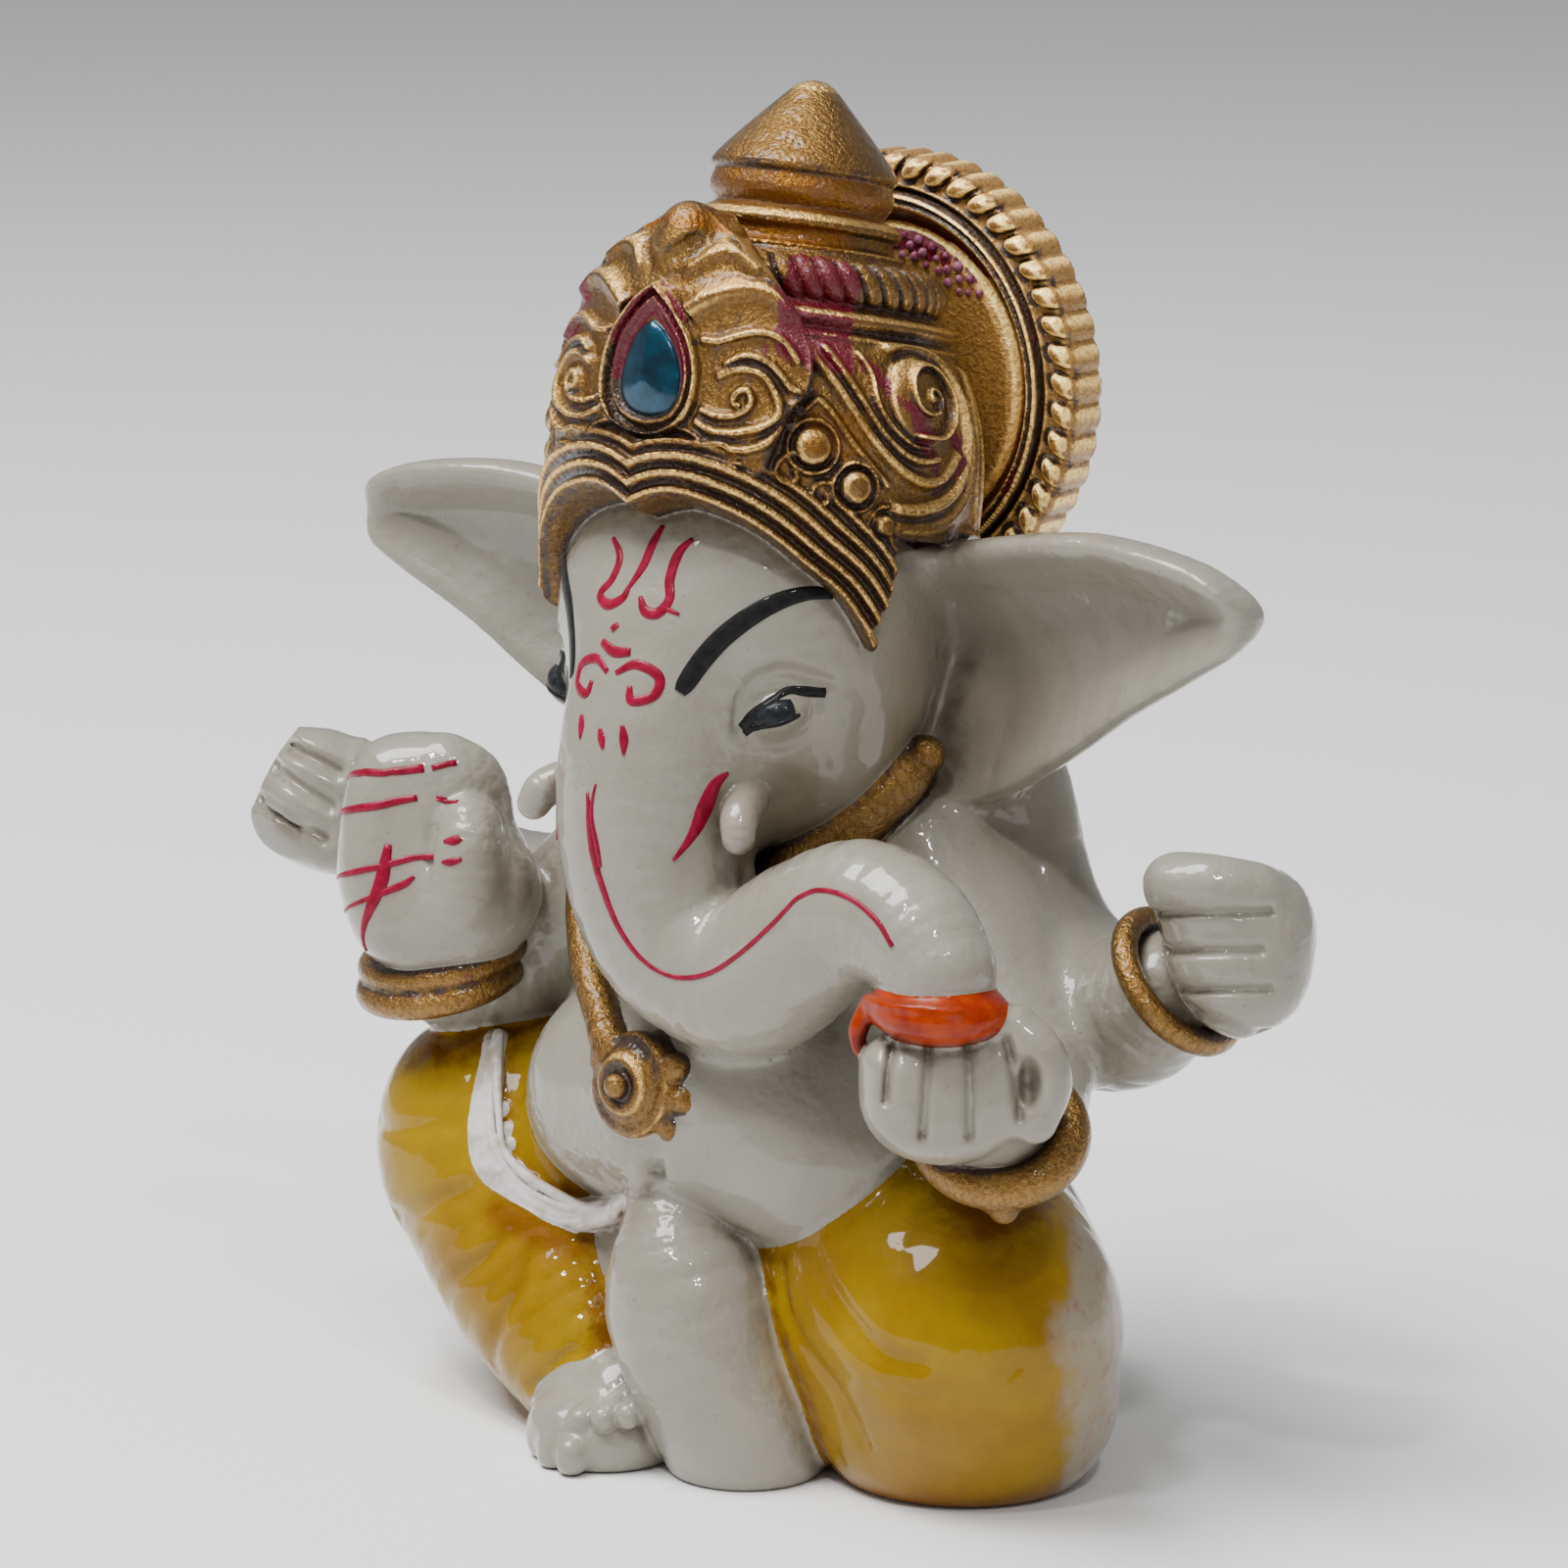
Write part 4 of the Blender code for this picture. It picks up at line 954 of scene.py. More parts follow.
def waist_sash(p):
    wide = np.array((0.9, 1.35, 1.6, 1.55, 1.35, 1.2, 1.1, 1.0, 0.8))
    d = tube(p, [(x, y + 0.35, z, 0.75 * reach) for (x, y, z), reach in zip(SASH, wide)])
    for k in range(6):
        rows = []
        for step, ((x, y, z), reach) in enumerate(zip(SASH, wide)):
            shift = (k / 2.5 - 1) * reach + 0.12 * math.sin(2.3 * step + 1.9 * k)
            rows.append((x + 0.62 * shift, y - 0.42 + 0.3 * abs(k / 2.5 - 1), z + 0.78 * shift,
                         0.24 + 0.06 * math.sin(1.7 * step + 2.6 * k)))
        d = join(d, tube(p, rows, 3), 0.08)
    for x, y, z in ((-11.8, -9.7, 17.0), (-11.2, -10.0, 16.0), (-10.8, -10.1, 15.3),
                    (-10.9, -10.5, 14.6), (-10.1, -10.4, 14.1), (-9.1, -10.3, 13.1)):
        d = join(d, ball(p, (x, y, z), (0.4, 0.45, 0.45)), 0.1)
    return d


# name, field, blend with the members before it, material slot
MEMBERS = [
    ("torso", torso, 0.0, "glazed_white"),
    ("hips", hips, 1.5, "glazed_white"),
    ("head", head, 1.0, "glazed_white"),
    ("trunk", trunk, 1.5, "glazed_white"),
    ("tusk_left", tusk_left, 0.3, "glazed_white"),
    ("tusk_right", tusk_right, 0.3, "glazed_white"),
    ("ear_left", ear_left, 2.0, "glazed_white"),
    ("ear_right", ear_right, 2.0, "glazed_white"),
    ("arm_rear_left", arm_rear_left, 1.8, "glazed_white"),
    ("arm_rear_right", arm_rear_right, 1.8, "glazed_white"),
    ("arm_front_left", arm_front_left, 1.5, "glazed_white"),
    ("arm_front_right", arm_front_right, 1.5, "glazed_white"),
    ("hand_rear_left", hand_rear_left, 0.8, "glazed_white"),
    ("hand_rear_right", hand_rear_right, 0.8, "glazed_white"),
    ("hand_front_left", hand_front_left, 0.8, "glazed_white"),
    ("hand_front_right", hand_front_right, 0.8, "glazed_white"),
    ("leg_left", leg_left, 0.6, "glazed_white"),
    ("foot_right", foot_right, 0.4, "glazed_white"),
    ("dhoti_left", dhoti_left, 0.8, "yellow_paint"),
    ("dhoti_right", dhoti_right, 0.8, "yellow_paint"),
    ("sweet", sweet, 0.4, "orange_paint"),
    ("waist_sash", waist_sash, 0.3, "white_brushwork"),
    ("necklace_left", necklace_left, 0.3, "gold_paint"),
    ("necklace_right", necklace_right, 0.3, "gold_paint"),
    ("pendant", pendant, 0.3, "gold_paint"),
    ("bangle_front_left", bangle_front_left, 0.2, "gold_paint"),
    ("bangle_front_right_upper", bangle_front_right_upper, 0.2, "gold_paint"),
    ("bangle_front_right_lower", bangle_front_right_lower, 0.2, "gold_paint"),
    ("bangle_rear_left", bangle_rear_left, 0.2, "gold_paint"),
    ("bangle_rear_right", bangle_rear_right, 0.2, "gold_paint"),
    ("halo_disc", halo_disc, 0.1, "gold_paint"),
    ("halo_ring", halo_ring, 0.1, "gold_paint"),
    ("halo_border", halo_border, 0.1, "gold_paint"),
    ("crown_dome", crown_dome, 0.1, "gold_paint"),
    ("crown_scroll_left", crown_scroll_left, 0.05, "gold_paint"),
    ("crown_scroll_right", crown_scroll_right, 0.05, "gold_paint"),
    ("crown_ring", crown_ring, 0.1, "gold_paint"),
    ("crown_rope_ring", crown_rope_ring, 0.1, "gold_paint"),
    ("crown_collar", crown_collar, 0.1, "gold_paint"),
    ("crown_finial", crown_finial, 0.1, "gold_paint"),
    ("crown_front_plate", crown_front_plate, 0.15, "gold_paint"),
    ("crown_brim", crown_brim, 0.2, "gold_paint"),
    ("crown_gem", crown_gem, 0.05, "blue_enamel"),
]
CELLS = {"waist_sash": 0.12, "foot_right": 0.15, "torso": 0.3, "hips": 0.35,
         "dhoti_left": 0.25, "dhoti_right": 0.25, "crown_dome": 0.13, "crown_front_plate": 0.11, "crown_brim": 0.12,
         "crown_scroll_left": 0.12, "crown_scroll_right": 0.16, "crown_ring": 0.15,
         "crown_rope_ring": 0.13, "crown_collar": 0.15, "crown_finial": 0.15,
         "crown_gem": 0.1, "halo_disc": 0.2, "halo_ring": 0.15, "halo_border": 0.14}
CELL = 0.2
OVERLAP = 0.15
REACH = {"foot_right": 3.5, "ear_left": 2.2, "ear_right": 2.0, "torso": 3.5,
         "waist_sash": 2.5, "necklace_left": 3.0, "necklace_right": 3.0,
         "hand_front_right": 2.8, "crown_brim": 4.0, "dhoti_left": 1.8, "dhoti_right": 2.0,
         "crown_front_plate": 2.0, "tusk_left": 1.8, "tusk_right": 1.8, "pendant": 1.8,
         "bangle_front_right_upper": 2.2, "bangle_front_right_lower": 2.2, "head": 1.5,
         "halo_border": 0.6, "halo_disc": 0.6, "halo_ring": 0.6, "bangle_front_left": 2.0}


def node_box(name, grow=0.0):
    """A node's box in millimetres, grown on every side."""
    low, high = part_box(name)
    low, high = np.array(low, np.float32), np.array(high, np.float32)
    return low * 1000 - np.float32(grow), high * 1000 + np.float32(grow)


def reach(name):
    """How far a piece may reach past its node's box."""
    return REACH.get(name, 1.2)


MARGIN = 3.0                     # a field is only worked out this close to its piece
BOXES = {name: node_box(name, reach(name) + MARGIN) for name, _, _, _ in MEMBERS}


def near(low, high):
    """The members whose boxes touch a box, in order."""
    chosen = []
    for member in MEMBERS:
        its_low, its_high = BOXES[member[0]]
        if (its_low < high).all() and (its_high > low).all():
            chosen.append(member)
    return chosen


def body_field(points, members, ground=True):
    """All members' smooth union, and each member's own distance."""
    whole = None
    own = {}
    for name, field, blend, _ in members:
        low, high = BOXES[name]
        past = np.maximum(np.maximum(low - points, points - high), 0)
        distance = np.sqrt((past ** 2).sum(1)).astype(np.float32)
        close = distance == 0
        distance += MARGIN
        if close.any():
            distance[close] = field(points[close])
        own[name] = distance
        whole = distance if whole is None else join(whole, distance, blend)
    if ground:
        whole = meet(whole, -points[:, 2], 0.3)
    return whole, own


def zone(value, low, high, soft):
    """One inside low..high, fading to nothing over a soft margin."""
    inner = np.minimum(value - low, high - value)
    return np.clip(inner / soft + 0.5, 0, 1)


# soft patches (x, y, z, reach, strength) darkened brown: painted shade in the neck, ear, navel and hand hollows,
# with brown stain on the glaze
STAIN_AND_SHADE_PATCHES = [(7.8, -8.6, 35.6, 3.0, 1.0), (6.4, -5.6, 34.0, 3.0, 0.9), (9.0, -3.0, 39.0, 3.4, 0.7),
          (10.4, -1.6, 43.0, 4.0, 0.45), (12.0, 0.5, 40.0, 4.5, 0.5),
          (8.8, -4.0, 31.6, 4.0, 0.6), (10.5, -2.4, 29.0, 4.0, 0.45),
          (8.9, -10.2, 42.6, 1.6, 0.35), (-17.5, -8.0, 24.0, 2.6, 0.35),
          (22.0, -10.6, 21.6, 2.8, 0.5), (24.4, 1.0, 27.0, 3.0, 0.4),
          (-26.0, 1.0, 27.0, 3.0, 0.4), (26.6, -14.0, 26.4, 1.0, 0.8),
          (6.6, -9.6, 9.0, 2.2, 0.6), (-4.6, -9.0, 11.0, 1.8, 0.4), (0.0, -13.0, 13.6, 1.2, 0.4),
          (-4.6, -13.2, 1.2, 1.6, 0.3), (14.0, 3.0, 33.0, 3.2, 0.4)]


def body_tints(points):
    """Yellow spill, and brown stain mixed with painted shade in the hollows, of the glazed body."""
    stain_shade_and_amber = np.zeros(len(points), np.float32)
    for *centre, spread, strength in STAIN_AND_SHADE_PATCHES:
        away = np.linalg.norm(points - np.array(centre, np.float32), axis=1)
        stain_shade_and_amber = np.maximum(stain_shade_and_amber, strength * bump(away, spread))
    spill = 0.8 * bump(np.linalg.norm(points - np.array((7.4, -8.8, 6.0), np.float32), axis=1), 2.4)
    return spill, stain_shade_and_amber


def cloth_tints(points):
    """Cream fade, and brown painted shade along the floor and under the sash, of the yellow cloth."""
    x, y, z = points.T
    fade = zone(x + 0.55 * y, 19.6, 60.0, 2.4)
    # painted shadow along the bottom, where the cloth meets the floor
    stain_shade_and_amber = 0.75 * bump(z, 1.2)
    # painted shade in a line just under the waist sash
    stain_shade_and_amber = np.maximum(stain_shade_and_amber, 0.8 * bump(tube(points, [(-10.6, -11.5, 11.8, 0.2),
                                                       (-7.4, -10.9, 10.9, 0.2),
                                                       (-5.0, -10.2, 10.9, 0.2)], 2), 0.7))
    return fade, stain_shade_and_amber


def gold_tints(points):
    """Crimson and amber touches on the gilding."""
    angle, height, _ = around_crown(points)
    angle = np.abs(angle)
    crimson = zone(angle, 34, 62, 6) * zone(height, 7.6, 13.6, 0.8)
    crescent = 8.1 - (angle - 66) * 0.2
    crimson = np.maximum(crimson, zone(angle, 64, 90, 5) * bump(height - crescent, 0.8))
    crimson = np.maximum(crimson, zone(angle, 96, 104, 4) * zone(height, 2.0, 7.5, 1.0) * 0.8)
    tear = np.hypot(angle * DEGREE, (height - 7.6) * 0.8)
    crimson = np.maximum(crimson, zone(tear, 1.2, 2.7, 0.4) * 0.95)
    amber = zone(angle, 45, 66, 5) * zone(height, 3.0, 6.0, 1.0) * 0.55
    amber = np.maximum(amber, zone(angle, -1, 75, 40) * zone(height, 13.9, 15.2, 0.5))
    amber = np.maximum(amber, 0.62 * zone(height, 15.7, 17.9, 0.3))
    turn, reach, front = around_halo(points)
    on_halo = np.where((front < 3.0) & (points[:, 1] > 6.0), 1.0, 0.0)
    upper = zone(points[:, 2], 61.5, 99, 2.0)
    crimson = np.where(points[:, 1] > 6.0, 0.0, crimson)
    crimson = np.maximum(crimson, on_halo * zone(reach, 7.2, 9.0, 0.5) * upper)
    low = np.linalg.norm(points - np.array((8.2, 8.4, 51.6), np.float32), axis=1)
    crimson = np.maximum(crimson, bump(low, 1.2))
    amber = np.where(points[:, 1] > 6.0, on_halo * zone(reach, 8.6, 9.6, 0.4) * 0.7, amber)
    return crimson, amber


TINTS = {"glazed_white": body_tints, "yellow_paint": cloth_tints, "gold_paint": gold_tints}


def paint_masks(points, normals, outside, slot):
    """Crevice depth for painted shade and grime in hollows, second colour, and stain with painted shade (amber on
    the gilding) at each point.
    """
    masks = np.zeros((len(points), 4), np.float32)
    reach = 0.45 if slot == "gold_paint" else 1.1
    # darkness of hollows, sampled like ambient occlusion: drives painted shade, with grime, in the materials
    masks[:, 0] = 1 - outside(points + normals * reach) / reach
    # a broad 3 mm hollow sample: painted shade in wide hollows such as the inner ears and neck
    wide = 1 - outside(points + normals * 3.0) / 3.0
    if slot != "gold_paint":
        masks[:, 0] = np.maximum(masks[:, 0], 0.8 * wide)
    if slot in TINTS:
        masks[:, 1], masks[:, 2] = TINTS[slot](points)
    masks[:, 3] = 1.0
    return np.clip(masks, -1, 1)


def member_mesh(name):
    """One member's share of the body as vertices, quads and normals."""
    low, high = node_box(name, reach(name))
    low[2] = max(low[2], -0.2)
    members = near(low, high)
    cell = CELLS.get(name, CELL) / FINE

    def piece(points):
        whole, own = body_field(points, members)
        mine = own.pop(name)
        if not own:
            return whole
        past = mine - np.minimum.reduce(list(own.values()))
        return np.maximum(whole + 0.4 * np.clip(past, 0, 1), 0.5 * past - OVERLAP)

    verts, faces = grid_mesh(piece, low, high, cell)
    outside = lambda points: body_field(points, members)[0]
    normals = gradient(outside, verts, 0.05)
    hidden = outside(verts) < -0.03
    normals[hidden] = gradient(piece, verts[hidden], 0.05)
    normals /= np.maximum(np.linalg.norm(normals, axis=1, keepdims=True), 1e-6)
    slot = [member[3] for member in MEMBERS if member[0] == name][0]
    return verts, faces, normals, paint_masks(verts, normals, outside, slot)


def add_piece(name, verts, faces, normals, masks, slot, nodes, material):
    """Make the Blender object of a piece, riding on the root body."""
    mesh = bpy.data.meshes.new(name)
    mesh.from_pydata((verts * MM).tolist(), [], [list(face) for face in faces])
    mesh.update()
    mesh.shade_smooth()
    if normals is not None:
        mesh.normals_split_custom_set_from_vertices(normals.tolist())
    if masks is not None:
        layer = mesh.color_attributes.new("paint", "FLOAT_COLOR", "POINT")
        layer.data.foreach_set("color", masks.astype(np.float32).ravel())
    mesh.materials.append(material)
    piece = bpy.data.objects.new(name, mesh)
    bpy.context.scene.collection.objects.link(piece)
    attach(piece, "root")
    if nodes:
        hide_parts(*nodes)
    slot in SLOTS.values()
    return piece


# ------------------------------------------------------------------- materials

class Paint:
    """A procedural material in the making; inputs are values or sockets."""

    def __init__(self, name):
        self.material = bpy.data.materials.new(name)
        self.material.use_nodes = True
        self.tree = self.material.node_tree
        self.shader = self.tree.nodes["Principled BSDF"]
        self.place = self.tree.nodes.new("ShaderNodeTexCoord").outputs["Object"]
        mask = self.tree.nodes.new("ShaderNodeAttribute")
        mask.attribute_name = "paint"
        split = self.tree.nodes.new("ShaderNodeSeparateColor")
        self.tree.links.new(mask.outputs["Color"], split.inputs[0])
        # paint channels: crevice darkness (painted shade and grime), second colour, and stain with painted shade
        # (amber paint on the gilding)
        self.crevice, self.second, self.stain_shade_and_amber = split.outputs[:3]

    def plug(self, socket, value):
        if isinstance(value, bpy.types.NodeSocket):
            self.tree.links.new(value, socket)
        elif isinstance(value, tuple) and len(value) == 3 and socket.type == "RGBA":
            socket.default_value = (*value, 1.0)
        else:
            socket.default_value = value

    def math(self, operation, a, b=0.0, clamp=False):
        node = self.tree.nodes.new("ShaderNodeMath")
        node.operation = operation
        node.use_clamp = clamp
        self.plug(node.inputs[0], a)
        self.plug(node.inputs[1], b)
        return node.outputs[0]

    def noise(self, scale, detail=3.0, roughness=0.55, stretch=(1, 1, 1), twist=0.0):
        """Cloudy noise; scale is features per metre."""
        mapping = self.tree.nodes.new("ShaderNodeMapping")
        self.plug(mapping.inputs["Vector"], self.place)
        mapping.inputs["Scale"].default_value = stretch
        node = self.tree.nodes.new("ShaderNodeTexNoise")
        self.plug(node.inputs["Vector"], mapping.outputs[0])
        node.inputs["Scale"].default_value = scale
        node.inputs["Detail"].default_value = detail
        node.inputs["Roughness"].default_value = roughness
        node.inputs["Distortion"].default_value = twist
        return node.outputs[0]

    def ramp(self, value, low, high, start=0.0, stop=1.0):
        """Map a span of values smoothly onto start..stop."""
        node = self.tree.nodes.new("ShaderNodeMapRange")
        node.interpolation_type = "SMOOTHSTEP"
        self.plug(node.inputs["Value"], value)
        for slot, number in zip((1, 2, 3, 4), (low, high, start, stop)):
            node.inputs[slot].default_value = number
        return node.outputs[0]

    def mix(self, share, a, b):
        node = self.tree.nodes.new("ShaderNodeMix")
        node.data_type = "RGBA"
        self.plug(node.inputs[0], share)
        self.plug(node.inputs[6], a)
        self.plug(node.inputs[7], b)
        return node.outputs[2]

    def relief(self, height, distance, under=None):
        """Bump by a height map, distance in metres."""
        node = self.tree.nodes.new("ShaderNodeBump")
        node.inputs["Distance"].default_value = distance
        self.plug(node.inputs["Height"], height)
        if under is not None:
            self.plug(node.inputs["Normal"], under)
        return node.outputs[0]

    def finish(self, colour, roughness, metallic=0.0, coat=1.0, normal=None, glaze=None,
               depth=1.3, sheen=0.3):
        shader = self.shader
        self.plug(shader.inputs["Base Color"], colour)
        self.plug(shader.inputs["Roughness"], roughness)
        self.plug(shader.inputs["Metallic"], metallic)
        self.plug(shader.inputs["Coat Weight"], coat)
        shader.inputs["Coat Roughness"].default_value = 0.05
        shader.inputs["Coat IOR"].default_value = depth
        shader.inputs["Specular IOR Level"].default_value = sheen if metallic == 0.0 else 0.5
        if normal is not None:
            self.plug(shader.inputs["Normal"], normal)
        if glaze is not None:
            self.plug(shader.inputs["Coat Normal"], glaze)
        return self.material


def glazed_white():
    paint = Paint("glazed_white_surface")
    cloudy = paint.noise(130, 4.0)
    fine = paint.noise(900, 3.0)
    base = paint.mix(cloudy, (0.30, 0.285, 0.237), (0.225, 0.205, 0.157))
    # brown stain with painted shade in the neck, ear, navel and hand hollows
    brown_stain_and_shade = paint.math("MULTIPLY", paint.stain_shade_and_amber, paint.ramp(cloudy, 0.25, 0.6, 0.75, 1.0))
    base = paint.mix(brown_stain_and_shade, base, (0.17, 0.125, 0.07))
    # painted shade with grime darkening the crevices
    hollow_shade_and_grime = paint.math("ADD", paint.crevice, paint.ramp(fine, 0.3, 0.7, -0.18, 0.18))
    base = paint.mix(paint.ramp(hollow_shade_and_grime, 0.55, 1.2, 0.0, 0.75), base, (0.13, 0.098, 0.062))
    specks = paint.ramp(paint.noise(2600, 1.0), 0.70, 0.76, 0.0, 0.35)
    base = paint.mix(specks, base, (0.16, 0.12, 0.08))
    spill = paint.math("MULTIPLY", paint.second, paint.ramp(fine, 0.3, 0.6, 0.5, 1.0))
    base = paint.mix(spill, base, (0.40, 0.24, 0.06))
    waves = paint.relief(paint.noise(240, 2.0), 0.00035)
    patches = paint.ramp(paint.noise(110, 2.0), 0.48, 0.62)
    grains = paint.math("MULTIPLY", paint.noise(1300, 1.0), patches)
    waves = paint.relief(grains, 0.00010, waves)
    pits = paint.relief(paint.noise(1900, 2.0), 0.00005, waves)
    made = paint.finish(base, paint.ramp(fine, 0.2, 0.8, 0.34, 0.5), normal=pits, glaze=waves,
                        depth=1.4)
    paint.shader.inputs["Subsurface Weight"].default_value = 0.12
    paint.shader.inputs["Subsurface Radius"].default_value = (1.0, 0.8, 0.5)
    paint.shader.inputs["Subsurface Scale"].default_value = 0.001
    return made


def yellow_paint():
    paint = Paint("yellow_paint_surface")
    cloudy = paint.noise(160, 4.0)
    fine = paint.noise(1100, 3.0)
    base = paint.mix(paint.ramp(cloudy, 0.3, 0.7), (0.30, 0.18, 0.0), (0.225, 0.115, 0.0))
    # painted shade: orange-brown darkening in the folds and hollows
    hollow_shade_and_grime = paint.math("ADD", paint.crevice, paint.ramp(fine, 0.3, 0.7, -0.15, 0.15))
    base = paint.mix(paint.ramp(hollow_shade_and_grime, 0.25, 0.95, 0.0, 0.9), base, (0.13, 0.036, 0.0))
    # painted shade along the floor and under the sash
    base = paint.mix(paint.stain_shade_and_amber, base, (0.16, 0.05, 0.002))
    fade = paint.math("ADD", paint.second, paint.ramp(cloudy, 0.3, 0.7, -0.35, 0.35))
    cream = paint.mix(paint.ramp(fine, 0.5, 0.7), (0.29, 0.245, 0.17), (0.27, 0.165, 0.12))
    base = paint.mix(paint.ramp(fade, 0.3, 0.8), base, cream)
    waves = paint.relief(paint.noise(220, 2.0), 0.0003)
    pits = paint.relief(paint.noise(2100, 2.0), 0.00006, waves)
    return paint.finish(base, paint.ramp(fine, 0.2, 0.8, 0.3, 0.48), normal=pits, glaze=waves,
                        sheen=0.05)


# painted_reflection_gain scales every shade of the gold; above 1 it is a painted reflection
def gold_paint(name, metal, painted_reflection_gain=1.0):
    """Brushed gilding: bright ridges, bronze flats and dark recesses, partly antique wash and partly painted
    highlight and shade.
    """
    paint = Paint(name)
    cloudy = paint.noise(350, 4.0)
    grain = paint.noise(3600, 3.0, 0.7)
    brush = paint.noise(1500, 2.0, 0.6, (1.0, 1.0, 0.25))
    bright = paint.mix(cloudy, (0.92 * painted_reflection_gain, 0.60 * painted_reflection_gain, 0.20 * painted_reflection_gain),
                       (0.70 * painted_reflection_gain, 0.41 * painted_reflection_gain, 0.11 * painted_reflection_gain))
    # ridges bright and flats bronze by how convex each point is: partly rubbed antique gilding, partly painted
    # highlight and shade
    base = paint.mix(paint.ramp(paint.crevice, -0.22, 0.05), bright,
                     (0.21 * painted_reflection_gain, 0.108 * painted_reflection_gain, 0.024 * painted_reflection_gain))
    base = paint.mix(paint.ramp(grain, 0.42, 0.66, 0.0, 0.55), base, (0.10, 0.042, 0.008))
    # near-black in the recesses: antique wash with painted shade
    hollow_shade_and_grime = paint.math("ADD", paint.crevice, paint.ramp(brush, 0.3, 0.7, -0.16, 0.16))
    recess_shade_and_wash = paint.ramp(hollow_shade_and_grime, 0.12, 0.5, 0.0, 0.97)
    base = paint.mix(recess_shade_and_wash, base, (0.028, 0.009, 0.0018))
    red = paint.math("ADD", paint.second, paint.ramp(brush, 0.3, 0.7, -0.3, 0.3))
    red = paint.math("ADD", red, paint.ramp(cloudy, 0.3, 0.7, -0.25, 0.25))
    red = paint.math("SUBTRACT", red, paint.ramp(paint.crevice, -0.3, 0.0, 0.8, 0.0))
    red = paint.ramp(red, 0.45, 0.65)
    base = paint.mix(red, base, (0.115, 0.0, 0.008))
    amber = paint.ramp(paint.stain_shade_and_amber, 0.3, 0.8, 0.0, 0.85)
    base = paint.mix(amber, base, (0.24, 0.085, 0.004))
    bare = paint.math("MAXIMUM", recess_shade_and_wash, red)
    metal = paint.math("SUBTRACT", metal, paint.math("MULTIPLY", bare, 0.7), True)
    bumps = paint.relief(grain, 0.00016)
    waves = paint.relief(paint.noise(900, 2.0), 0.0003)
    return paint.finish(base, paint.ramp(grain, 0.25, 0.75, 0.24, 0.42), metal, 0.5,
                        bumps, waves, 1.35)


def plain_paint(name, bright, dark, roughness, metallic=0.0, coat=1.0, size=900):
    """A hand-brushed colour that wanders between two shades."""
    paint = Paint(name)
    cloudy = paint.noise(size, 4.0)
    base = paint.mix(paint.ramp(cloudy, 0.3, 0.7), bright, dark)
    # painted shade darkening the crevices
    base = paint.mix(paint.ramp(paint.crevice, 0.25, 0.9, 0.0, 0.8), base,
                     tuple(0.3 * part for part in dark))
    bumps = paint.relief(cloudy, 0.00008)
    return paint.finish(base, roughness, metallic, coat, bumps, sheen=0.1)


def white_brushwork():
    paint = Paint("white_brushwork_surface")
    streaks = paint.noise(700, 3.0)
    base = paint.mix(paint.ramp(streaks, 0.42, 0.66), (0.64, 0.61, 0.60), (0.46, 0.40, 0.33))
    # yellow-brown in the crevices between strands: partly the yellow paint underneath, partly painted shade
    base = paint.mix(paint.ramp(paint.crevice, 0.6, 1.2, 0.0, 0.7), base, (0.30, 0.17, 0.03))
    return paint.finish(base, 0.45, 0.0, 0.5, paint.relief(streaks, 0.0002))


LOOKS = {
    "glazed_white": glazed_white(),
    "yellow_paint": yellow_paint(),
    "gold_paint": gold_paint("gold_paint_surface", 0.9),
    # the halo's gold is a brighter, less metallic copy of the crown's gold: painted reflection
    "halo_gold": gold_paint("halo_gold_painted_reflection_surface", 0.35, 2.1),
    "orange_paint": plain_paint("orange_paint_surface", (0.36, 0.034, 0.0),
                                (0.22, 0.012, 0.0), 0.35, 0.0, 0.6),
    "blue_enamel": plain_paint("blue_enamel_surface", (0.004, 0.060, 0.105),
                               (0.002, 0.022, 0.045), 0.32, 0.7),
    "white_brushwork": white_brushwork(),
    "crimson_brushwork": plain_paint("crimson_brushwork_surface", (0.27, 0.002, 0.032),
                                     (0.17, 0.001, 0.014), 0.45, 0.0, 0.5, 1800),
    "black_brushwork": plain_paint("black_brushwork_surface", (0.006, 0.006, 0.007),
                                   (0.014, 0.013, 0.013), 0.55, 0.0, 0.3, 1800),
    "bead_paint": plain_paint("bead_paint_surface", (0.30, 0.12, 0.19), (0.16, 0.01, 0.05),
                              0.35, 0.0, 1.0, 1500),
    "iris_paint": plain_paint("iris_paint_surface", (0.006, 0.008, 0.010),
                              (0.022, 0.025, 0.027), 0.42, 0.0, 0.3, 2600),
}

SLOTS = {row["node"]: row["material_slot"] for row in frame["record"]["subparts"]}
for node in frame["nodes"]:
    if node not in BOXES:
        node_object = bpy.data.objects.get(node)
        if node_object:
            node_object.data.materials.clear()
            node_object.data.materials.append(LOOKS[SLOTS[node]])

with ThreadPoolExecutor(4) as pool:
    names = [member[0] for member in MEMBERS]
    meshes = dict(zip(names, pool.map(member_mesh, names)))
for name, _, _, slot in MEMBERS:
    # halo pieces take the brighter gold copy, a painted reflection
    look = "halo_gold" if name.startswith("halo") else slot
    add_piece(name + "_surface", *meshes[name], slot, [name], LOOKS[look])


# ---------------------------------------------------------------- brush strokes

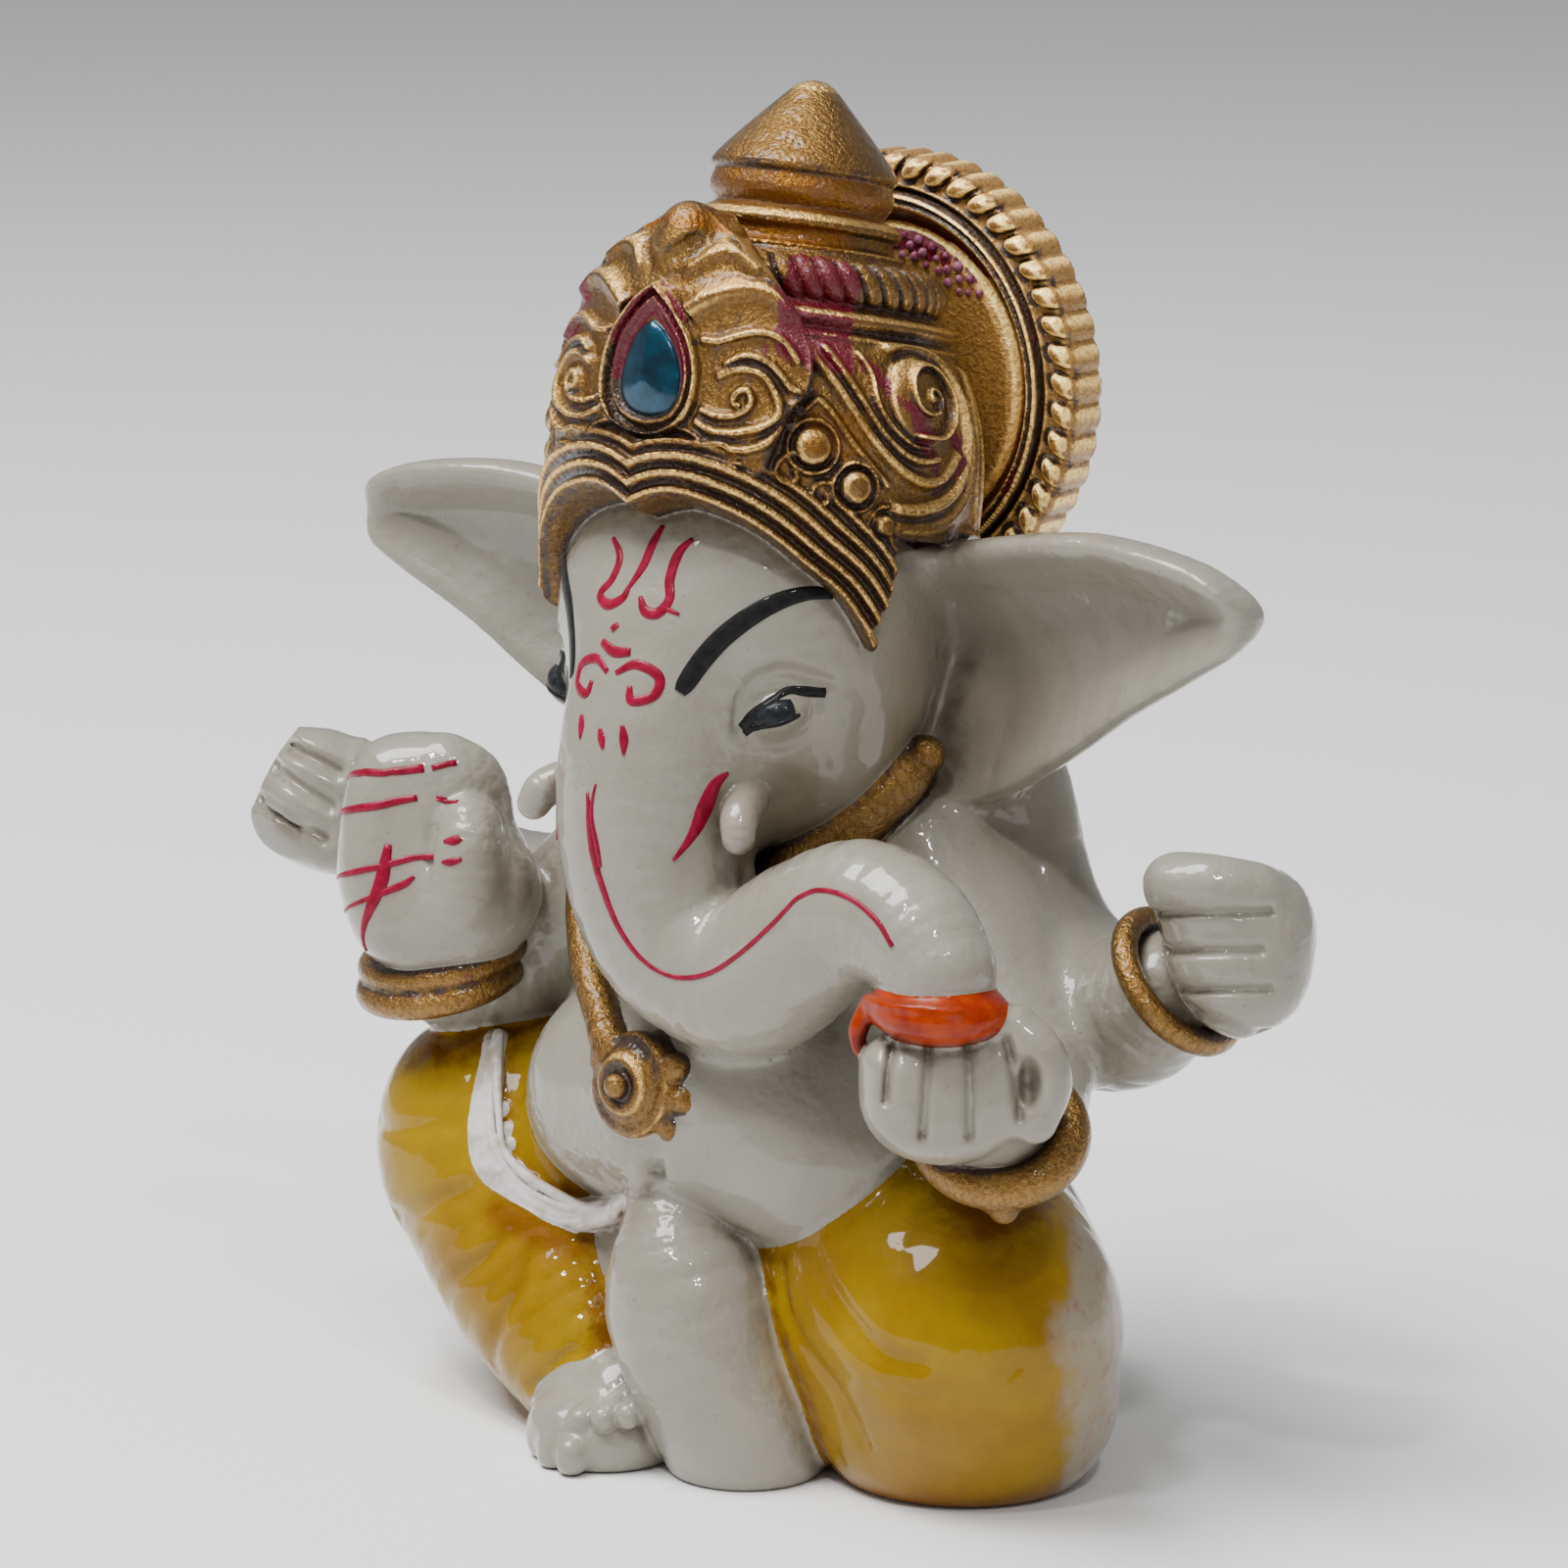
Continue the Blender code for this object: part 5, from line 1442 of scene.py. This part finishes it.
def ribbon(name, rows, slot, lift=0.08, mirrored=False):
    """Lay one raised brush stroke (x, y, z, half width) onto the body's surface."""
    curve = np.array(route(rows, 6), np.float32)
    if mirrored:
        curve[:, 0] *= -1
    centres, widths = curve[:, :3], 1.25 * np.maximum(curve[:, 3:], 0.04)
    members = [member for member in near(centres.min(0) - 2, centres.max(0) + 2)
               if not member[0].startswith("crown_")]
    outside = lambda points: body_field(points.astype(np.float32), members)[0]

    def settle(points, height):
        for _ in range(4):
            slope = gradient(outside, points, 0.05)
            slope /= np.maximum(np.linalg.norm(slope, axis=1, keepdims=True), 1e-6)
            points = points - slope * (outside(points) - height)[:, None]
        return points.astype(np.float32), slope

    centres, up = settle(centres, 0.0)
    along = np.gradient(centres, axis=0)
    side = np.cross(along, up)
    side /= np.maximum(np.linalg.norm(side, axis=1, keepdims=True), 1e-6)
    rings = []
    for across, height in ((-1, -0.08), (-0.8, 0.5 * lift), (-0.4, lift), (0, 1.1 * lift),
                           (0.4, lift), (0.8, 0.5 * lift), (1, -0.08), (0, -0.16)):
        row, _ = settle(centres + side * widths * across, height)
        rings.append(row)
    rings = np.stack(rings, 1)
    count, around = rings.shape[:2]
    verts = rings.reshape(-1, 3)
    faces = [[i * around + k, i * around + (k + 1) % around,
              (i + 1) * around + (k + 1) % around, (i + 1) * around + k]
             for i in range(count - 1) for k in range(around)]
    faces.append(list(range(around))[::-1])
    faces.append([(count - 1) * around + k for k in range(around)])
    return add_piece(name, verts, faces, None, None, slot, [], LOOKS[slot])


def halo_beads():
    """A cluster of small painted beads on the halo's upper field."""
    verts, faces = [], []
    sphere = [(math.sin(a) * math.cos(b), math.sin(a) * math.sin(b), math.cos(a))
              for a in np.linspace(0.25, math.pi - 0.25, 8)
              for b in np.arange(12) * math.pi / 6]
    for row in range(3):
        for k in range(9 - row):
            angle = math.radians(96 - 7.0 * k - 3.5 * row)
            reach = 8.0 - 0.52 * row + 0.07 * math.sin(3.1 * k + row)
            size = 0.25 + 0.05 * math.sin(2.3 * k + 1.7 * row)
            centre = (HALO[0] + reach * math.cos(angle), HALO[1] - 1.08,
                      HALO[2] + reach * math.sin(angle))
            base = len(verts)
            verts += [tuple(c + size * v for c, v in zip(centre, spot)) for spot in sphere]
            for i in range(7):
                for j in range(12):
                    faces.append([base + 12 * i + j, base + 12 * i + (j + 1) % 12,
                                  base + 12 * (i + 1) + (j + 1) % 12, base + 12 * (i + 1) + j])
            faces.append([base + j for j in range(12)][::-1])
            faces.append([base + 84 + j for j in range(12)])
    add_piece("halo_beads", np.array(verts, np.float32), faces, None, None, "bead_paint", [],
              LOOKS["bead_paint"])


halo_beads()

STROKES = {
    "crimson_brushwork": {
        "trident_left": [(-2.6, -11.1, 49.6, 0.12), (-1.6, -11.8, 48.8, 0.22),
                         (-1.6, -12.4, 47.7, 0.25), (-2.2, -12.7, 46.9, 0.25),
                         (-1.3, -13.1, 46.5, 0.28), (-0.4, -13.0, 46.9, 0.24),
                         (-0.2, -12.7, 47.6, 0.12)],
        "trident_middle": [(0.5, -10.9, 50.6, 0.14), (0.3, -11.4, 49.6, 0.25),
                           (0.2, -12.1, 48.5, 0.24), (-0.2, -12.7, 47.4, 0.12)],
        "trident_right": [(2.5, -10.9, 50.1, 0.12), (2.0, -11.4, 49.3, 0.26),
                          (2.0, -12.1, 48.1, 0.26), (2.3, -12.5, 47.1, 0.24),
                          (1.9, -13.0, 46.4, 0.28), (1.2, -13.2, 46.5, 0.26),
                          (0.7, -12.9, 47.1, 0.12)],
        "trident_tail": [(2.3, -12.7, 46.6, 0.14), (3.0, -12.6, 46.4, 0.08)],
        "dot": [(-0.5, -13.6, 45.6, 0.26), (-0.3, -13.7, 45.4, 0.26)],
        "dash": [(-1.1, -13.9, 44.7, 0.2), (-0.1, -14.0, 44.3, 0.28), (0.9, -14.0, 44.4, 0.2)],
        "curl_left": [(-0.3, -14.7, 43.4, 0.14), (-1.4, -14.3, 43.9, 0.24),
                      (-2.6, -13.8, 43.3, 0.26), (-2.5, -14.0, 42.3, 0.24),
                      (-1.5, -14.6, 42.0, 0.24), (-1.3, -14.7, 42.8, 0.14)],
        "curl_right": [(0.3, -14.7, 43.4, 0.14), (1.4, -14.3, 43.9, 0.24),
                       (2.6, -13.8, 43.3, 0.26), (2.5, -14.0, 42.3, 0.24),
                       (1.5, -14.6, 42.0, 0.24), (1.3, -14.7, 42.8, 0.14)],
        "mark_left": [(-1.5, -15.1, 41.0, 0.1), (-1.4, -15.2, 40.5, 0.24),
                      (-1.3, -15.4, 39.8, 0.08)],
        "mark_middle": [(0.0, -15.4, 40.5, 0.1), (0.2, -15.5, 40.0, 0.22),
                        (0.4, -15.6, 39.5, 0.08)],
        "mark_right": [(1.3, -15.2, 40.8, 0.1), (1.5, -15.3, 40.1, 0.24),
                       (1.6, -15.4, 39.3, 0.08)],
        "trunk_start": [(0.2, -16.0, 37.7, 0.06), (0.0, -16.2, 36.2, 0.12),
                        (0.4, -16.2, 34.4, 0.16), (0.6, -16.2, 33.4, 0.12)],
        "trunk_line": [(-0.3, -16.1, 37.2, 0.1), (0.0, -16.2, 34.6, 0.2),
                       (0.7, -16.2, 32.4, 0.2), (1.7, -16.0, 30.2, 0.16),
                       (3.1, -15.7, 28.7, 0.13), (5.1, -15.5, 28.1, 0.13),
                       (7.4, -15.5, 28.7, 0.13), (9.8, -15.8, 30.3, 0.13),
                       (11.8, -15.9, 32.1, 0.13), (13.2, -15.7, 33.5, 0.13),
                       (14.7, -15.7, 34.1, 0.13), (16.7, -15.8, 33.9, 0.13),
                       (18.4, -16.0, 33.1, 0.14), (19.5, -16.1, 32.0, 0.12)],
        "palm_first": [(-21.4, -10.6, 34.2, 0.16), (-19.8, -11.0, 34.6, 0.2),
                       (-18.3, -11.0, 35.0, 0.2), (-16.6, -10.4, 35.5, 0.24)],
        "palm_first_end": [(-16.2, -10.2, 35.5, 0.16), (-15.0, -9.4, 36.0, 0.16)],
        "palm_second": [(-21.6, -10.8, 32.2, 0.16), (-19.8, -11.4, 32.8, 0.2),
                        (-17.8, -11.6, 33.6, 0.22), (-16.4, -11.2, 34.0, 0.16)],
        "palm_second_end": [(-15.7, -10.9, 34.1, 0.12), (-14.4, -10.5, 34.6, 0.14)],
        "palm_third": [(-21.2, -11.8, 29.0, 0.1), (-19.3, -12.4, 29.7, 0.16),
                       (-17.3, -12.3, 30.4, 0.18), (-15.4, -12.0, 31.2, 0.16)],
        "palm_fourth": [(-20.6, -11.9, 27.3, 0.08), (-18.7, -12.3, 28.3, 0.12),
                        (-16.6, -12.4, 29.3, 0.2), (-15.9, -12.3, 29.9, 0.1)],
        "palm_dagger": [(-17.6, -12.2, 31.4, 0.2), (-17.8, -12.4, 29.6, 0.36),
                        (-18.3, -12.2, 28.0, 0.28), (-18.9, -11.8, 25.8, 0.06)],
        "thumb_first": [(-14.4, -12.8, 32.5, 0.1), (-13.4, -12.6, 32.7, 0.26),
                        (-12.9, -12.2, 32.8, 0.2)],
        "thumb_second": [(-14.2, -13.2, 31.1, 0.08), (-13.3, -13.1, 31.2, 0.2),
                         (-12.4, -12.5, 31.5, 0.12)],
    },
}
PAIRED_STROKES = {
    "brow": ("black_brushwork", [
        (3.6, -13.3, 42.5, 0.30), (3.8, -13.0, 43.0, 0.46), (4.4, -12.4, 44.2, 0.50),
        (5.2, -11.6, 45.4, 0.50), (6.3, -10.6, 46.5, 0.48), (7.3, -9.5, 47.2, 0.42),
        (8.2, -8.4, 47.5, 0.34), (8.9, -7.3, 47.4, 0.28)]),
    "brow_end": ("black_brushwork", [(8.9, -7.1, 47.2, 0.14), (8.8, -6.9, 48.3, 0.18)]),
    "iris": ("iris_paint", [(6.4, -10.8, 40.9, 0.30), (7.0, -10.6, 41.25, 0.52),
                            (7.6, -10.2, 41.5, 0.66), (8.1, -9.6, 41.7, 0.46)]),
    "lash": ("black_brushwork", [
        (5.8, -11.0, 40.5, 0.30), (6.4, -10.8, 41.3, 0.28), (7.1, -10.2, 42.1, 0.22),
        (7.6, -9.4, 42.5, 0.22), (8.2, -8.7, 42.4, 0.26), (8.9, -7.9, 42.3, 0.26)]),
    "lower_lash": ("black_brushwork", [
        (6.0, -11.0, 40.2, 0.18), (6.9, -10.9, 40.6, 0.12), (7.8, -10.3, 40.9, 0.12),
        (8.3, -9.4, 41.3, 0.1)]),
    "lip_leaf": ("crimson_brushwork", [
        (5.5, -11.6, 38.2, 0.10), (5.1, -12.2, 37.7, 0.34), (4.9, -12.8, 36.6, 0.46),
        (4.7, -13.2, 35.7, 0.36), (4.5, -13.7, 34.9, 0.22), (4.0, -14.4, 33.9, 0.08)]),
}
for slot, strokes in STROKES.items():
    for stroke, rows in strokes.items():
        ribbon(stroke + "_stroke", rows, slot)
for stroke, (slot, rows) in PAIRED_STROKES.items():
    for side, mirrored in (("left", False), ("right", True)):
        ribbon(stroke + "_" + side + "_stroke", rows, slot, mirrored=mirrored)


# ----------------------------------------------------------- floor and lights

def add_floor():
    """A plain pale flat floor."""
    bpy.ops.mesh.primitive_plane_add(size=4.0, location=(0, 0, 0))
    floor = bpy.context.object
    floor.name = "floor"
    material = bpy.data.materials.new("floor_paint")
    material.use_nodes = True
    shader = material.node_tree.nodes["Principled BSDF"]
    shader.inputs["Base Color"].default_value = (0.90, 0.90, 0.90, 1.0)
    shader.inputs["Roughness"].default_value = 0.9
    floor.data.materials.append(material)


def add_light(name, place, size, power, target=(0, 0, 0.035)):
    """A soft square light aimed at the figure."""
    data = bpy.data.lights.new(name, "AREA")
    data.size = size
    data.energy = power
    light = bpy.data.objects.new(name, data)
    bpy.context.scene.collection.objects.link(light)
    light.location = place
    away = Vector(place) - Vector(target)
    light.rotation_euler = away.to_track_quat("Z", "Y").to_euler()


add_floor()
world = bpy.data.worlds.new("studio")
bpy.context.scene.world = world
world.use_nodes = True
world.node_tree.nodes["Background"].inputs["Color"].default_value = (1, 1, 1, 1)
world.node_tree.nodes["Background"].inputs["Strength"].default_value = 0.33
add_light("overhead", (-0.14, -0.18, 0.60), 0.32, 6.6)
add_light("glint_left", (0.08, -0.34, 0.60), 0.04, 0.9)
add_light("glint_right", (0.36, -0.24, 0.54), 0.04, 0.8)
